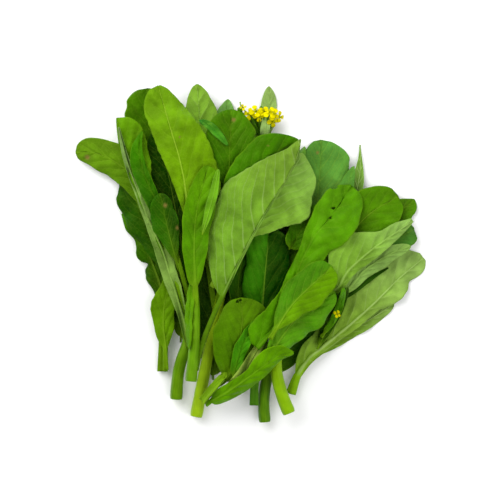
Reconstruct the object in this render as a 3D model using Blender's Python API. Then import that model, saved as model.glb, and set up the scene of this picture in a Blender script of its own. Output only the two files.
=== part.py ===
"""Choy sum bunch: leafy shoots, loose leaves and a yellow flower head, lying in a loose fan.

Metres, +Z up. The bunch lies on the plane z = 0 with its cut ends towards -Y and its leaf tips towards
+Y. The origin is the middle of the bunch's box, at the level that it rests on. The sizes below are in
millimetres.
"""

import math

import bmesh
import bpy
import numpy as np
from mathutils import Matrix, Vector

MM = 0.001
BLADE = 0.8  # thickness of a leaf blade
GAP = 0.9  # clear space kept between one layer of the bunch and the next
WING = 1.0  # the narrow wing along a leaf stalk
MIDDLE = (-0.6, -0.2)  # the middle of the bunch's box, in the tables' own coordinates

# How a leaf is drawn
FLAT_COLUMNS = (0.5, 1.0)  # where a half that isn't folded back has columns, as shares of its width
FLAT_BASE = 0.1  # a half takes up its slope over this share of the blade
FOLD_BACK = 155.0  # the slope of a flap that is folded back, in degrees
BEND = 5.4  # the length of blade that goes round the fold of a flap
UNFOLDED = 0.3  # a flap opens out over this share of the blade at either end
STALK_STEP = 26.0  # the least length between two cross-sections of a stalk
BLADE_STEP = 15.0  # of a blade
STEM_STEP = 14.0  # and of a thick stem
SLOPE_STEPS = 41  # terms of the sum that draws a cross-section
FLORET_EYE = 0.7  # how far a floret's stalk stands through the middle of its petals

# How a piece lies down on those below it
CELL = 2.0  # side of one square of the height maps
REACH = 210.0  # the height maps run from -REACH to REACH
SAMPLES = 11  # points tested along each side of one cell of a piece's grid
PRESSED = 0.9  # what comes this near the table is pressed flat on it
FREE = 34.0  # a leaf ignores its own shoot over this length from its root
ROOT_LIFT = 1.5  # a leaf's root rises no more than this above the middle of its stem
STIFF = 1.0  # a leaf doesn't bend across its rib where the rib is thicker than twice this
LEAF_SLOPE = (0.3, 0.45)  # how steeply one lift gives way to the next, along a leaf and across it
STEM_SLOPE = (0.12, 0)  # and along a stem

LEAF_GREEN = (0.16, 0.36, 0.03, 1.0)
STEM_GREEN = (0.32, 0.52, 0.07, 1.0)
PETAL_YELLOW = (0.85, 0.78, 0.03, 1.0)


def side(width, peak=0.55, base=1.1, tip=0.6, fold=0.0, curl=0.0, flap=0.0, knots=()):
    """One half of a blade: its width from rib to margin, where along the blade it is widest, how sharply it
    narrows to its base and to its tip, its slope at the rib, how far it bends on towards its margin, in
    degrees, and the share of it that is folded back over it. Knots give an uneven outline instead, as places
    along the blade and shares of the width."""
    return {
        "width": width, "peak": peak, "base": base, "tip": tip, "fold": fold, "curl": curl, "flap": flap,
        "knots": knots,
    }


def leaf(name, node, rib, blade, left, right, stalk=2.8, arch=6.0, wave=(2.0, 2.5, 0.0), lobe=0.05,
         rest=60):
    """A leaf: its rib from root to tip, the share of it that is bare stalk, and its two halves. stalk is the
    stalk's radius, arch the rise of the rib, wave the height, number and phase of the ripples of the margin,
    lobe their share of the outline, and rest the share of the leaf, in hundredths, that touches what lies
    below it or would sink into it."""
    return {
        "kind": "leaf", "name": name, "node": node, "rib": rib, "blade": blade, "left": left, "right": right,
        "stalk": stalk, "arch": arch, "wave": wave, "lobe": lobe, "rest": rest,
    }


def stem(name, node, path, radii):
    """A thick stem from its cut end to its top, with its radius at both."""
    return {"kind": "stem", "name": name, "node": node, "path": path, "radii": radii}


def head(name, node, at, size, florets, petal):
    """A flower head: where it is, half its spread each way, how many florets it has and a petal's length."""
    return {
        "kind": "head", "name": name, "node": node, "at": at, "size": size, "florets": florets,
        "petal": petal,
    }


# The bunch from the table upwards. Each piece lies on those before it.
PIECES = [
    leaf("hidden_left", "leaf_hidden_left", [(-66, -88), (-74, -30), (-92, 40), (-104, 92)], 0.35,
         side(24, fold=4), side(26, fold=4), arch=2, wave=(1.5, 2.5, 0.4), rest=70),
    leaf("hidden_middle", "leaf_hidden_middle", [(-26, -96), (-18, -30), (-12, 40), (-8, 104)], 0.3,
         side(30), side(32), stalk=1.5, arch=0, wave=(0.3, 2.5, 1.0), rest=70),
    leaf("hidden_right", "leaf_hidden_right", [(24, -96), (62, -52), (104, -14), (146, 14)], 0.3,
         side(26, fold=3), side(16, fold=3), arch=2, wave=(1.5, 2.5, 2.0), rest=70),
    leaf("right_lowest", "leaf_right_lowest", [(45, -128), (60, -109), (80, -94), (105, -76), (128, -62),
         (144, -51)], 0.3, side(13, 0.6, 1.0, 0.5, fold=6), side(7, 0.6, 0.8, 0.5, fold=-6), arch=3,
         stalk=2.0),
    leaf("right_outer", "leaf_right_outer", [(40, -141), (47, -122), (59, -105), (74, -93), (96, -75),
         (121, -53), (150, -25), (174, -5)], 0.26, side(25, 0.55, 0.9, 0.4, fold=14, curl=-24),
         side(15, 0.82, 1.3, 0.35, fold=-10, curl=16), stalk=4.0, arch=7, wave=(3.0, 3.0, 0.5), lobe=0.1),
    stem("back_right_stem", "shoot_back_right", [(14, -169), (13, -147), (18, -120), (34, -87), (58, -45),
         (80, -8)], (6.2, 3.4)),
    leaf("back_sliver", "shoot_back_right", [(78, -16), (99, 40), (109, 76), (110, 109)], 0.3,
         side(9, 0.45, 1.0, 1.9, fold=30), side(5, 0.5, 1.0, 1.9, fold=20), stalk=1.6, arch=10),
    leaf("back_top", "shoot_back_right", [(60, -36), (64, 10), (67, 55), (70, 88), (71, 114)], 0.36,
         side(21, 0.6, 1.0, 0.4, fold=8), side(31, 0.55, 1.0, 0.4, fold=6, curl=-14), arch=9,
         wave=(2.5, 2.5, 1.4), lobe=0.07),
    leaf("back_inner", "shoot_back_right", [(36, -80), (44, -20), (52, 20), (58, 44)], 0.35,
         side(15, 0.6, 1.0, 0.5, fold=10), side(14, 0.6, 1.0, 0.5, fold=10), arch=5),
    leaf("back_right_tooth", "shoot_back_right", [(80, -6), (118, 18), (145, 38), (165, 54)], 0.25,
         side(15, 0.6, 1.0, 0.9, fold=8), side(17, 0.65, 1.0, 0.6, fold=8), arch=9, lobe=0.14,
         wave=(2.0, 3.5, 0.0)),
    leaf("back_right_blunt", "shoot_back_right", [(72, -26), (112, -6), (140, 12), (164, 24)], 0.25,
         side(15, 0.75, 1.0, 0.25, fold=6), side(15, 0.75, 1.0, 0.25, fold=6), arch=8),
    stem("right_stem", "shoot_right", [(38, -159), (29, -135), (25, -107), (36, -78), (56, -47),
         (76, -24)], (6.8, 4.0)),
    leaf("right_back", "shoot_right", [(52, -52), (75, -18), (95, 14), (120, 40), (148, 57)], 0.24,
         side(24, 0.62, 0.9, 0.35, fold=8), side(25, 0.66, 0.9, 0.3, fold=8, curl=10), arch=8,
         wave=(2.5, 2.5, 0.9)),
    leaf("right_band", "shoot_right", [(74, -30), (94, -37), (114, -17), (137, -2), (160, 7)], 0.18,
         side(9, 0.6, 0.8, 0.6, fold=12, curl=30), side(9, 0.6, 0.8, 0.6, fold=-25), stalk=2.2, arch=6,
         lobe=0.03),
    leaf("right_pale", "shoot_right", [(70, -40), (84, -36), (97, -17), (120, 3), (141, 18), (162, 32)],
         0.08, side(29, fold=12, curl=-10, knots=((0, 0.4), (0.16, 0.9), (0.34, 1), (0.55, 0.62),
         (0.7, 0.28), (1, 0.1))), side(9, 0.5, 0.8, 0.7, fold=-26), stalk=2.4, arch=6, lobe=0.03),
    leaf("left_under", "leaf_left_outer", [(-89, -119), (-88, -80), (-90, -40), (-101, -6), (-113, 23),
         (-128, 41)], 0.36, side(8, 0.5, 0.7, 0.9, fold=6), side(20, 0.6, 0.9, 0.9, fold=6), stalk=4.8,
         arch=3, lobe=0.16, wave=(2.0, 3.5, 0.6)),
    leaf("left_low", "leaf_left_low", [(-85, -117), (-86, -92), (-88, -69), (-86, -47), (-81, -30),
         (-77, -10)], 0.2, side(11, 0.45, 0.8, 0.7, fold=4, curl=16), side(11, 0.45, 0.8, 0.7, fold=10),
         stalk=2.4, arch=4, lobe=0.14, wave=(2.0, 2.2, 0.2)),
    stem("left_stem", "shoot_left", [(-75, -146), (-73, -122), (-68, -102), (-62, -82), (-61, -47),
         (-66, -7)], (6.6, 3.6)),
    leaf("left_back", "shoot_left", [(-65, -20), (-77, 30), (-92, 90), (-102, 135), (-103, 166)], 0.3,
         side(24, 0.74, 1.0, 0.32, fold=6), side(24, 0.7, 1.0, 0.4, fold=6), arch=6, lobe=0.06),
    leaf("left_inner", "shoot_left", [(-61, -50), (-68, 0), (-77, 50), (-86, 90), (-98, 122)], 0.3,
         side(21, 0.6, 1.0, 0.6, fold=8), side(26, 0.6, 1.0, 0.6, fold=14), arch=3, rest=75),
    leaf("left_dark", "shoot_left", [(-62, -64), (-80, -20), (-98, 16), (-114, 50), (-124, 88)], 0.24,
         side(18, 0.72, 0.9, 0.6, fold=-8, curl=-14), side(18, 0.6, 0.9, 0.7, fold=12), arch=5, lobe=0.1,
         wave=(2.5, 4.0, 0.3)),
    leaf("left_reaching", "shoot_left", [(-62, -44), (-90, 25), (-118, 75), (-133, 89), (-147, 97),
         (-161, 101), (-176, 101)], 0.42, side(16, 0.66, 1.0, 0.4, fold=-10),
         side(18, 0.66, 1.0, 0.4, fold=4), stalk=2.4, arch=8),
    leaf("left_folded", "shoot_left", [(-61, -80), (-67, -52), (-76, -22), (-89, 14), (-104, 48),
         (-116, 75), (-127, 105), (-134, 135)], 0.24, side(14, 0.45, 0.6, 0.5, fold=10, flap=0.8),
         side(25, 0.86, 1.3, 0.35, fold=8), stalk=3.0, arch=5, lobe=0.02, wave=(1.0, 2.5, 0.0)),
    leaf("left_spoon", "shoot_left", [(-62, -58), (-66, -30), (-76, 8), (-88, 38), (-100, 64), (-108, 84),
         (-111, 104), (-108, 121)], 0.3, side(10, 0.7, 0.9, 0.8, fold=6),
         side(12, 0.65, 0.9, 0.9, fold=24), stalk=2.2, arch=4, lobe=0.02),
    leaf("left_small", "shoot_left", [(-61, -36), (-70, -20), (-77, 5), (-84, 32), (-90, 59)], 0.32,
         side(13, 0.65, 0.9, 0.5, fold=14), side(11, 0.65, 0.9, 0.5, fold=14), stalk=1.9, arch=3),
    stem("flowering_stem", "shoot_flowering", [(-55, -164), (-46, -117), (-39, -82), (-29, -37),
         (-19, 13), (-8, 63), (0, 100), (4, 116)], (6.6, 2.6)),
    leaf("flowering_low", "shoot_flowering", [(-36, -64), (-44, 0), (-44, 55), (-30, 98)], 0.3,
         side(22, 0.6, 1.0, 0.6, fold=8), side(26, 0.6, 1.0, 0.6, fold=8), arch=3, rest=75),
    leaf("flowering_tip", "shoot_flowering", [(-12, 46), (-26, 80), (-28, 115), (-23, 155)], 0.3,
         side(12, 0.55, 1.0, 0.7, fold=14), side(12, 0.55, 1.0, 0.7, fold=14), stalk=1.4, arch=5),
    leaf("flowering_pale", "shoot_flowering", [(-28, -34), (-46, 10), (-50, 60), (-50, 112), (-54, 169)],
         0.36, side(15, 0.66, 1.0, 0.5, fold=-10), side(21, 0.6, 1.0, 0.65, fold=-8), arch=7),
    leaf("flowering_bract", "shoot_flowering", [(0, 94), (13, 118), (18, 144), (18, 168)], 0.2,
         side(8, 0.62, 1.0, 0.7, fold=12), side(8, 0.62, 1.0, 0.7, fold=12), stalk=1.2, arch=2, lobe=0.02,
         wave=(0.8, 1.5, 0.0)),
    head("flower_head", "flower_head", (6, 131), (24, 14, 9), 15, 6.6),
    leaf("flowering_broad", "shoot_flowering", [(-26, -22), (-25, 40), (-22, 75), (-21, 105), (-19, 142)],
         0.4, side(26, 0.6, 1.0, 0.45, fold=18, curl=-24), side(26, 0.64, 1.0, 0.5, fold=6, curl=-10),
         arch=6),
    leaf("flowering_dark", "shoot_flowering", [(-34, -58), (-26, 0), (-12, 52), (10, 88), (47, 112)],
         0.34, side(23, 0.68, 1.0, 0.7, fold=-6), side(20, 0.6, 1.0, 0.6, fold=-12), arch=6),
    leaf("middle_thin", "leaf_middle_thin", [(-9, -138), (-10, -95), (-13, -40), (-8, 0), (0, 40)], 0.4,
         side(14, 0.6, 1.0, 0.6, fold=16), side(12, 0.6, 1.0, 0.6, fold=16), stalk=2.2, arch=3, rest=70),
    leaf("middle_dark", "leaf_middle_dark", [(3, -152), (4, -125), (9, -90), (11, -58), (14, -20),
         (18, 24)], 0.44, side(21, 0.62, 0.8, 0.3, fold=30, curl=-30), side(22, 0.62, 0.8, 0.3, fold=26,
         curl=-20), stalk=4.0, arch=3, rest=70),
    leaf("middle_pale", "leaf_middle_pale", [(-38, -34), (-16, 10), (6, 40), (27, 66), (42, 84),
         (51, 99)], 0.36, side(16, 0.5, 0.8, 0.6, fold=-6), side(43, fold=-6, curl=-14, knots=((0, 0.12),
         (0.27, 0.6), (0.57, 1), (0.82, 0.68), (0.93, 0.32), (1, 0.04))), arch=6),
    leaf("centre_pale", "leaf_centre_pale", [(-53, -122), (-44, -92), (-30, -48), (-2, 11), (18, 46),
         (34, 71), (45, 93), (49, 112)], 0.31, side(49, 0.46, 0.78, 0.86, fold=-8, curl=-12),
         side(8, 0.5, 1.0, 0.8, fold=-62), stalk=3.4, arch=9, wave=(1.6, 2.5, 0.6), lobe=0.02),
    stem("front_left_stem", "shoot_front_left", [(-59, -126), (-56, -92), (-55, -60), (-57, -30)],
         (6.0, 4.2)),
    leaf("front_broad", "shoot_front_left", [(-57, -44), (-60, 0), (-64, 58), (-70, 92), (-80, 126),
         (-92, 166)], 0.32, side(20, 0.8, 1.2, 0.35, fold=16), side(35, 0.5, 1.0, 0.7, fold=-8, curl=-12),
         arch=8, lobe=0.03),
    leaf("front_spoon", "shoot_front_left", [(-55, -66), (-55, -37), (-56, 13), (-52, 48), (-42, 86)],
         0.22, side(12, 0.7, 0.4, 0.5, fold=16, curl=14), side(27, 0.8, 0.7, 0.45, fold=8, flap=0.38),
         stalk=3.2, arch=6, lobe=0.02, wave=(1.0, 2.0, 0.0)),
    leaf("front_round", "leaf_front_round", [(-48, -146), (-38, -134), (-23, -122), (-14, -95), (-9, -70),
         (-10, -44)], 0.26, side(25, 0.55, 0.8, 0.4, fold=6, curl=-16), side(27, 0.66, 0.9, 0.45, fold=4,
         curl=-10), stalk=2.2, arch=6, wave=(1.0, 1.5, 0.0), lobe=0.01),
    leaf("front_long", "leaf_front_long", [(-18, -120), (2, -98), (25, -71), (40, -45), (46, -19),
         (61, 13), (79, 35), (101, 67)], 0.1, side(20, fold=10, curl=10, knots=((0, 0.35), (0.13, 0.95),
         (0.3, 0.75), (0.5, 0.38), (0.63, 0.4), (0.82, 0.95), (0.94, 0.75), (1, 0.1))),
         side(26, 0.82, 3.6, 0.35, fold=2, curl=-10), stalk=3.2, arch=8, wave=(2.5, 3.0, 0.3), lobe=0.04),
    leaf("front_glossy", "leaf_front_glossy", [(4, -122), (24, -92), (42, -68), (60, -54), (83, -38)],
         0.2, side(14, 0.6, 0.7, 0.5, fold=8), side(19, 0.62, 0.7, 0.5, fold=4), arch=5,
         wave=(3.0, 3.5, 0.8)),
    leaf("front_right", "leaf_front_right", [(14, -92), (38, -54), (58, -33), (72, -20), (88, -8)], 0.2,
         side(18, 0.66, 0.8, 0.35, fold=4, curl=-12), side(19, 0.7, 0.8, 0.35, fold=2, curl=-12),
         stalk=2.4, arch=6),
    leaf("front_wrap", "leaf_front_wrap", [(-45, -150), (-25, -138), (-2, -121), (18, -107), (41, -98)],
         0.06, side(10, 0.6, 0.5, 0.35, fold=14), side(11, 0.4, 0.35, 0.5, fold=-16, curl=-20), stalk=2.6,
         arch=5, lobe=0.02),
]


def smooth_curve(points, shares):
    """Points at the given shares of the length of a Catmull-Rom curve through the given points."""
    points = np.array(points, float)
    ends = np.vstack([2 * points[0] - points[1], points, 2 * points[-1] - points[-2]])
    t = np.linspace(0, 1, 25)[:-1, None]
    runs = []
    for a, b, c, d in zip(ends, ends[1:], ends[2:], ends[3:]):
        square = 2 * a - 5 * b + 4 * c - d
        cube = 3 * b - a - 3 * c + d
        runs.append(0.5 * (2 * b + (c - a) * t + square * t**2 + cube * t**3))
    dense = np.vstack([*runs, points[-1:]])
    length = np.concatenate([[0], np.cumsum(np.linalg.norm(np.diff(dense, axis=0), axis=1))])
    wanted = np.array(shares) * length[-1]
    return np.stack([np.interp(wanted, length, axis) for axis in dense.T], axis=1), length[-1]


def outline(t, half):
    """The width of a half blade at t along it: a quarter sine up to its widest place and a quarter cosine
    down."""
    if half["knots"]:
        curve, _ = smooth_curve(half["knots"], np.linspace(0, 1, 60))
        return np.interp(t, curve[:, 0], curve[:, 1])
    rise = np.sin(np.pi / 2 * np.clip(t / half["peak"], 0, 1)) ** half["base"]
    past = np.clip((t - half["peak"]) / (1 - half["peak"]), 0, 1)
    fall = np.clip(np.cos(np.pi / 2 * past), 0, 1) ** half["tip"]
    return np.where(t < half["peak"], rise, fall)


def cross_section(half, columns, width, t):
    """How far out and how high each column of a half blade lies at t, where it is this wide. Its slope starts
    at fold and grows with the square of the way to the margin by curl, and a flap turns over in a bend. Both
    are sums of that slope's cosines and sines."""
    s = np.linspace(0, 1, SLOPE_STEPS)
    slope = (half["fold"] + half["curl"] * s**2) * min(t / FLAT_BASE, 1)
    if half["flap"]:
        turned = np.clip((s - 1 + half["flap"]) * half["width"] / BEND, 0, 1)
        slope += (FOLD_BACK - slope) * turned * np.clip(min(t, 1 - t) / UNFOLDED, 0, 1)
    slope = np.radians(slope)
    places = []
    for part in (np.cos(slope), np.sin(slope)):
        whole = np.concatenate([[0], np.cumsum((part[1:] + part[:-1]) / 2)]) / (SLOPE_STEPS - 1)
        places.append(np.interp(columns, s, whole) * width)
    return places


def columns_of(half):
    """Shares of the half's width at which its grid has columns: two, or more to go round a flap's bend."""
    if not half["flap"]:
        return FLAT_COLUMNS
    start, bend = 1 - half["flap"], BEND / half["width"]
    first = (0.55 * start,) if start > 0.3 else ()
    return (*first, start, start + 0.5 * bend, start + bend, 1.0)


def stations_of(piece):
    """Shares of the rib's length at which the leaf's cross-sections stand: few on the stalk, closer on the
    blade."""
    _, length = smooth_curve(piece["rib"], [0, 1])
    bare = piece["blade"] * length
    stalk = np.linspace(0, piece["blade"], max(3, round(bare / STALK_STEP) + 1))
    blade = np.linspace(piece["blade"], 1, int(np.clip(round((length - bare) / BLADE_STEP), 5, 10)) + 1)
    return np.concatenate([stalk, blade[1:]]), length


def rib_radius(piece, share, t):
    """The stalk thins by a quarter up to the blade, and the rib from there to a thread at the tip."""
    stalk = piece["stalk"] * (1 - 0.25 * np.clip(share / piece["blade"], 0, 1))
    return np.where(t > 0, BLADE / 2 + (0.75 * piece["stalk"] - BLADE / 2) * (1 - t) ** 1.3, stalk)


def leaf_grid(piece):
    """The leaf's middle surface as a grid of points, station by station from root to tip and column by column
    from its left margin to its right, with half its thickness at each point."""
    share, length = stations_of(piece)
    plan, _ = smooth_curve(piece["rib"], share)
    t = np.clip((share - piece["blade"]) / (1 - piece["blade"]), 0, 1)
    rise = piece["arch"] * np.sin(np.pi * share)
    rib = np.column_stack([plan, rise])
    ahead = np.gradient(rib, axis=0)
    ahead /= np.linalg.norm(ahead, axis=1, keepdims=True)
    left = np.cross([0, 0, 1], ahead)
    left /= np.linalg.norm(left, axis=1, keepdims=True)
    up = np.cross(ahead, left)
    radius = rib_radius(piece, share, t)
    height, count, phase = piece["wave"]
    grid, thick = [rib], [radius]
    for half, way in ((piece["left"], 1), (piece["right"], -1)):
        columns = columns_of(half)
        ripple = np.sin(2 * np.pi * count * t + phase + way)
        shape = outline(t, half)
        width = WING + half["width"] * shape * (1 + piece["lobe"] * ripple * np.sin(np.pi * t))
        edge = 0.8 * radius
        out, high = np.transpose([cross_section(half, columns, w, at) for w, at in zip(width, t)], (1, 2, 0))
        points = [rib + way * left * edge[:, None]]
        sizes = [BLADE / 2 + 0.5 * (radius - BLADE / 2)]
        for s, a, h in zip(columns, out, high):
            lift = h + height * s**2 * ripple * shape
            points.append(rib + way * left * (edge + a)[:, None] + up * lift[:, None])
            sizes.append(np.full(len(t), BLADE / 2 if s < 1 else 0.0))
        grid = points[::-1] + grid if way > 0 else grid + points
        thick = sizes[::-1] + thick if way > 0 else thick + sizes
    return np.stack(grid, axis=1), np.stack(thick, axis=1), share, length


def stem_grid(piece):
    """A stem's middle line with its two sides, and half its thickness there."""
    _, length = smooth_curve(piece["path"], [0, 1])
    share = np.linspace(0, 1, round(length / STEM_STEP) + 1)
    plan, _ = smooth_curve(piece["path"], share)
    radius = np.interp(share, [0, 1], piece["radii"])
    line = np.column_stack([plan, radius])
    ahead = np.gradient(line, axis=0)
    left = np.cross([0, 0, 1], ahead)
    left /= np.linalg.norm(left, axis=1, keepdims=True)
    grid = np.stack([line + left * radius[:, None], line, line - left * radius[:, None]], axis=1)
    return grid, np.stack([0.4 * radius, radius, 0.4 * radius], axis=1), share, radius


def spread(values):
    """Values all over each cell of a grid, mixed in straight lines between its corners."""
    a = np.linspace(0, 1, SAMPLES)[:, None]
    b = np.linspace(0, 1, SAMPLES)[None, :]
    corners = (values[:-1, :-1], values[1:, :-1], values[:-1, 1:], values[1:, 1:])
    weights = ((1 - a) * (1 - b), a * (1 - b), (1 - a) * b, a * b)
    return sum(c[:, :, None, None] * w for c, w in zip(corners, weights))


def cells_of(points):
    index = np.round((points + REACH) / CELL).astype(int)
    return np.clip(index, 0, round(2 * REACH / CELL))


def widened(heights):
    """Each square takes the height of its highest neighbour."""
    padded = np.pad(heights, 1, mode="edge")
    n, m = heights.shape
    return np.max([padded[i : i + n, j : j + m] for i in range(3) for j in range(3)], axis=0)


class Bed:
    """What already lies there: for each node, the height of its top over every square of the table."""

    def __init__(self):
        self.side = round(2 * REACH / CELL) + 1
        self.tops = {}

    def under(self, node):
        """Heights of all other nodes, and of the node itself."""
        bare = np.full((self.side, self.side), -GAP)
        others = np.max([bare, *[top for name, top in self.tops.items() if name != node]], axis=0)
        return widened(others), widened(self.tops.get(node, bare))

    def add(self, node, grid, half):
        top = self.tops.setdefault(node, np.full((self.side, self.side), -GAP))
        x, y, z, h = (spread(values) for values in (grid[..., 0], grid[..., 1], grid[..., 2], half))
        np.maximum.at(top, (cells_of(x), cells_of(y)), z + h)


def eased(lift, grid, half, slopes):
    """Raises the neighbours of raised points, along the leaf and across it, so that no lift is steeper than
    this. Across a stalk or a thick rib all points rise alike."""
    lift = lift.copy()
    bends = np.maximum(half[:, 1:], half[:, :-1]) < STIFF
    for _ in range(3):
        for axis, slope in enumerate(slopes):
            rows = lift if axis == 0 else lift.T
            steps = slope * np.linalg.norm(np.diff(grid[..., :2], axis=axis), axis=-1)
            steps = steps if axis == 0 else (steps * bends).T
            for k in range(1, len(rows)):
                np.maximum(rows[k], rows[k - 1] - steps[k - 1], out=rows[k])
            for k in range(len(rows) - 1, 0, -1):
                np.maximum(rows[k - 1], rows[k] - steps[k - 1], out=rows[k - 1])
    return lift


def settle(bed, node, grid, half, along, rest, root_height=None, stiff=False):
    """Lays a grid down on the bed: it drops until the given share of it touches, and then every point that
    would still be in something is raised clear, with its neighbours. along is each station's length from the
    root. A leaf with a root height stays there at its root."""
    grid = grid.copy()
    weight = np.ones(len(grid))
    free = 0.0
    if root_height is not None:
        grid[..., 2] += root_height
        reach = np.clip(along / (0.4 * along[-1]), 0, 1)
        weight = reach * reach * (3 - 2 * reach)
        free = FREE
    others, own = bed.under(node)
    x, y, z, h = (spread(values) for values in (grid[..., 0], grid[..., 1], grid[..., 2], half))
    way = spread(np.repeat(along[:, None], grid.shape[1], axis=1))
    pull = spread(np.repeat(weight[:, None], grid.shape[1], axis=1))
    place = (cells_of(x), cells_of(y))
    floor = np.where(way < free, others[place], np.maximum(others[place], own[place]))
    need = floor + GAP + h - z
    drop = np.percentile(need[pull > 0.6], rest)
    grid[..., 2] += (weight * drop)[:, None]
    cell = (need - pull * drop).max(axis=(2, 3))
    lift = np.zeros(grid.shape[:2])
    for i in (0, 1):
        for j in (0, 1):
            part = lift[i : i + cell.shape[0], j : j + cell.shape[1]]
            np.maximum(part, cell, out=part)
    if stiff:
        lift[:] = lift.max(axis=1, keepdims=True)
    lift = eased(lift, grid, half, STEM_SLOPE if stiff else LEAF_SLOPE)
    if root_height is not None:
        lift[0] = np.minimum(lift[0], ROOT_LIFT)
    grid[..., 2] += lift
    bed.add(node, grid, half)
    return grid


def normals_of(grid):
    across = np.gradient(grid, axis=1)
    ahead = np.gradient(grid, axis=0)
    normal = np.cross(across, ahead)
    return normal / np.linalg.norm(normal, axis=2, keepdims=True)


def blade_mesh(name, grid, half):
    """A closed leaf from its middle grid: an upper and a lower sheet, split into triangles alike, that share
    their margins, with an end at the root and at the tip."""
    n, m = half.shape
    shift = normals_of(grid) * half[..., None]
    upper, lower = grid + shift, (grid - shift)[:, 1:-1]
    upper[..., 2] = np.maximum(upper[..., 2], BLADE)
    lower[..., 2] = np.where(lower[..., 2] < PRESSED, 0.0, lower[..., 2])
    up = np.arange(n * m).reshape(n, m)
    down = up.copy()
    down[:, 1:-1] = n * m + np.arange(n * (m - 2)).reshape(n, m - 2)

    def sheet(ids):
        a, b, c, d = ids[:-1, :-1], ids[:-1, 1:], ids[1:, 1:], ids[1:, :-1]
        halves = np.stack([a, b, c], -1), np.stack([a, c, d], -1)
        return np.concatenate([half.reshape(-1, 3) for half in halves])

    def end(row):
        a, b, c, d = up[row, :-1], up[row, 1:], down[row, 1:], down[row, :-1]
        return np.concatenate([np.stack([a, b, c], -1), np.stack([a, c, d], -1)])

    faces = np.concatenate([sheet(up), sheet(down)[:, ::-1], end(-1), end(0)[:, ::-1]])
    a, b, c = faces.T
    whole = (a != b) & (b != c) & (a != c)
    points = np.concatenate([upper.reshape(-1, 3), lower.reshape(-1, 3)])
    points[:, :2] -= MIDDLE
    mesh = bpy.data.meshes.new(name)
    mesh.from_pydata((points * MM).tolist(), [], faces[whole].tolist())
    return mesh


def stem_mesh(name, line, radius):
    """A tapered stem: a poly curve with a round bevel and filled ends, made a mesh with its ends welded."""
    curve = bpy.data.curves.new(name, "CURVE")
    curve.dimensions = "3D"
    curve.bevel_depth = MM
    curve.bevel_resolution = 2
    curve.use_fill_caps = True
    spline = curve.splines.new("POLY")
    spline.points.add(len(line) - 1)
    for point, (x, y, z), r in zip(spline.points, line, radius):
        point.co = ((x - MIDDLE[0]) * MM, (y - MIDDLE[1]) * MM, z * MM, 1)
        point.radius = r
    guide = bpy.data.objects.new(name + "_guide", curve)
    bpy.context.scene.collection.objects.link(guide)
    graph = bpy.context.evaluated_depsgraph_get()
    mesh = bpy.data.meshes.new_from_object(guide.evaluated_get(graph))
    bpy.data.objects.remove(guide)
    welded = bmesh.new()
    welded.from_mesh(mesh)
    bmesh.ops.remove_doubles(welded, verts=welded.verts, dist=0.01 * MM)
    welded.to_mesh(mesh)
    welded.free()
    mesh.name = name
    return mesh


def floret_places(count):
    """Where the florets of a head stand, from -1 to 1 each way: turned on by the golden section, but kept in
    the two thirds of the circle away from the stem, further out and lower one after the other."""
    places = []
    for k in range(count):
        turn = math.radians(-35 + 250 * (k * 0.618 % 1))
        reach = math.sqrt((k + 0.6) / count)
        places.append(Vector((reach * math.cos(turn), reach * math.sin(turn), 1 - 0.9 * reach * reach)))
    return places


def floret_mesh(name, root, tip, petal):
    """A flower on its own thin stalk: a five-sided stalk that swells to the bloom, and four flat petals in a
    cross."""
    shape = bmesh.new()
    way = tip - root
    frame = way.to_track_quat("Z", "Y").to_matrix().to_4x4()
    stalk = Matrix.Translation((root + tip) / 2) @ frame
    depth = way.length + 2 * FLORET_EYE
    bmesh.ops.create_cone(
        shape, cap_ends=True, segments=5, radius1=0.8, radius2=1.6, depth=depth, matrix=stalk
    )
    for k in range(4):
        turn = Matrix.Rotation(k * math.pi / 2 + 0.3, 4, "Z")
        tilt = Matrix.Rotation(math.radians(-28), 4, "Y")
        place = Matrix.Translation(tip) @ frame @ turn @ tilt @ Matrix.Translation((0.58 * petal, 0, 0))
        size = Matrix.Diagonal((0.5 * petal, 0.32 * petal, 0.5, 1))
        bmesh.ops.create_uvsphere(shape, u_segments=4, v_segments=2, radius=1, matrix=place @ size)
    bmesh.ops.scale(shape, vec=(MM, MM, MM), verts=shape.verts)
    mesh = bpy.data.meshes.new(name)
    shape.to_mesh(mesh)
    shape.free()
    return mesh


def material(name, colour, roughness):
    made = bpy.data.materials.new(name)
    made.use_nodes = True
    shader = made.node_tree.nodes["Principled BSDF"]
    shader.inputs["Base Color"].default_value = colour
    shader.inputs["Roughness"].default_value = roughness
    shader.inputs["Metallic"].default_value = 0.0
    return made


def joined(name, meshes, collection, finish):
    """One object of all the meshes, which meet or cross: a Boolean union on their collection, applied."""
    base = bpy.data.objects.new(name, meshes[0])
    collection.objects.link(base)
    if len(meshes) > 1:
        others = bpy.data.collections.new(name + "_repeats")
        bpy.context.scene.collection.children.link(others)
        for mesh in meshes[1:]:
            others.objects.link(bpy.data.objects.new(mesh.name, mesh))
        union = base.modifiers.new("Union", "BOOLEAN")
        union.operation = "UNION"
        union.operand_type = "COLLECTION"
        union.collection = others
        union.solver = "EXACT"
        graph = bpy.context.evaluated_depsgraph_get()
        whole = bpy.data.meshes.new_from_object(base.evaluated_get(graph))
        base.modifiers.clear()
        base.data = whole
        for obj in list(others.objects):
            bpy.data.objects.remove(obj)
        bpy.data.collections.remove(others)
    base.data.name = name
    base.data.materials.clear()
    base.data.materials.append(finish)
    base.data.shade_smooth()
    base.data.set_sharp_from_angle(angle=math.radians(40))
    return base


def rooted(piece, line):
    """A leaf of a shoot with its root moved onto the nearest point of the stem's middle line, and that
    height."""
    steps = np.linspace(0, 1, 12)[:, None]
    dense = np.vstack([a + (b - a) * steps for a, b in zip(line, line[1:])])
    near = dense[np.argmin(np.linalg.norm(dense[:, :2] - np.array(piece["rib"][0]), axis=1))]
    return {**piece, "rib": [tuple(near[:2]), *piece["rib"][1:]]}, near[2]


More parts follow.
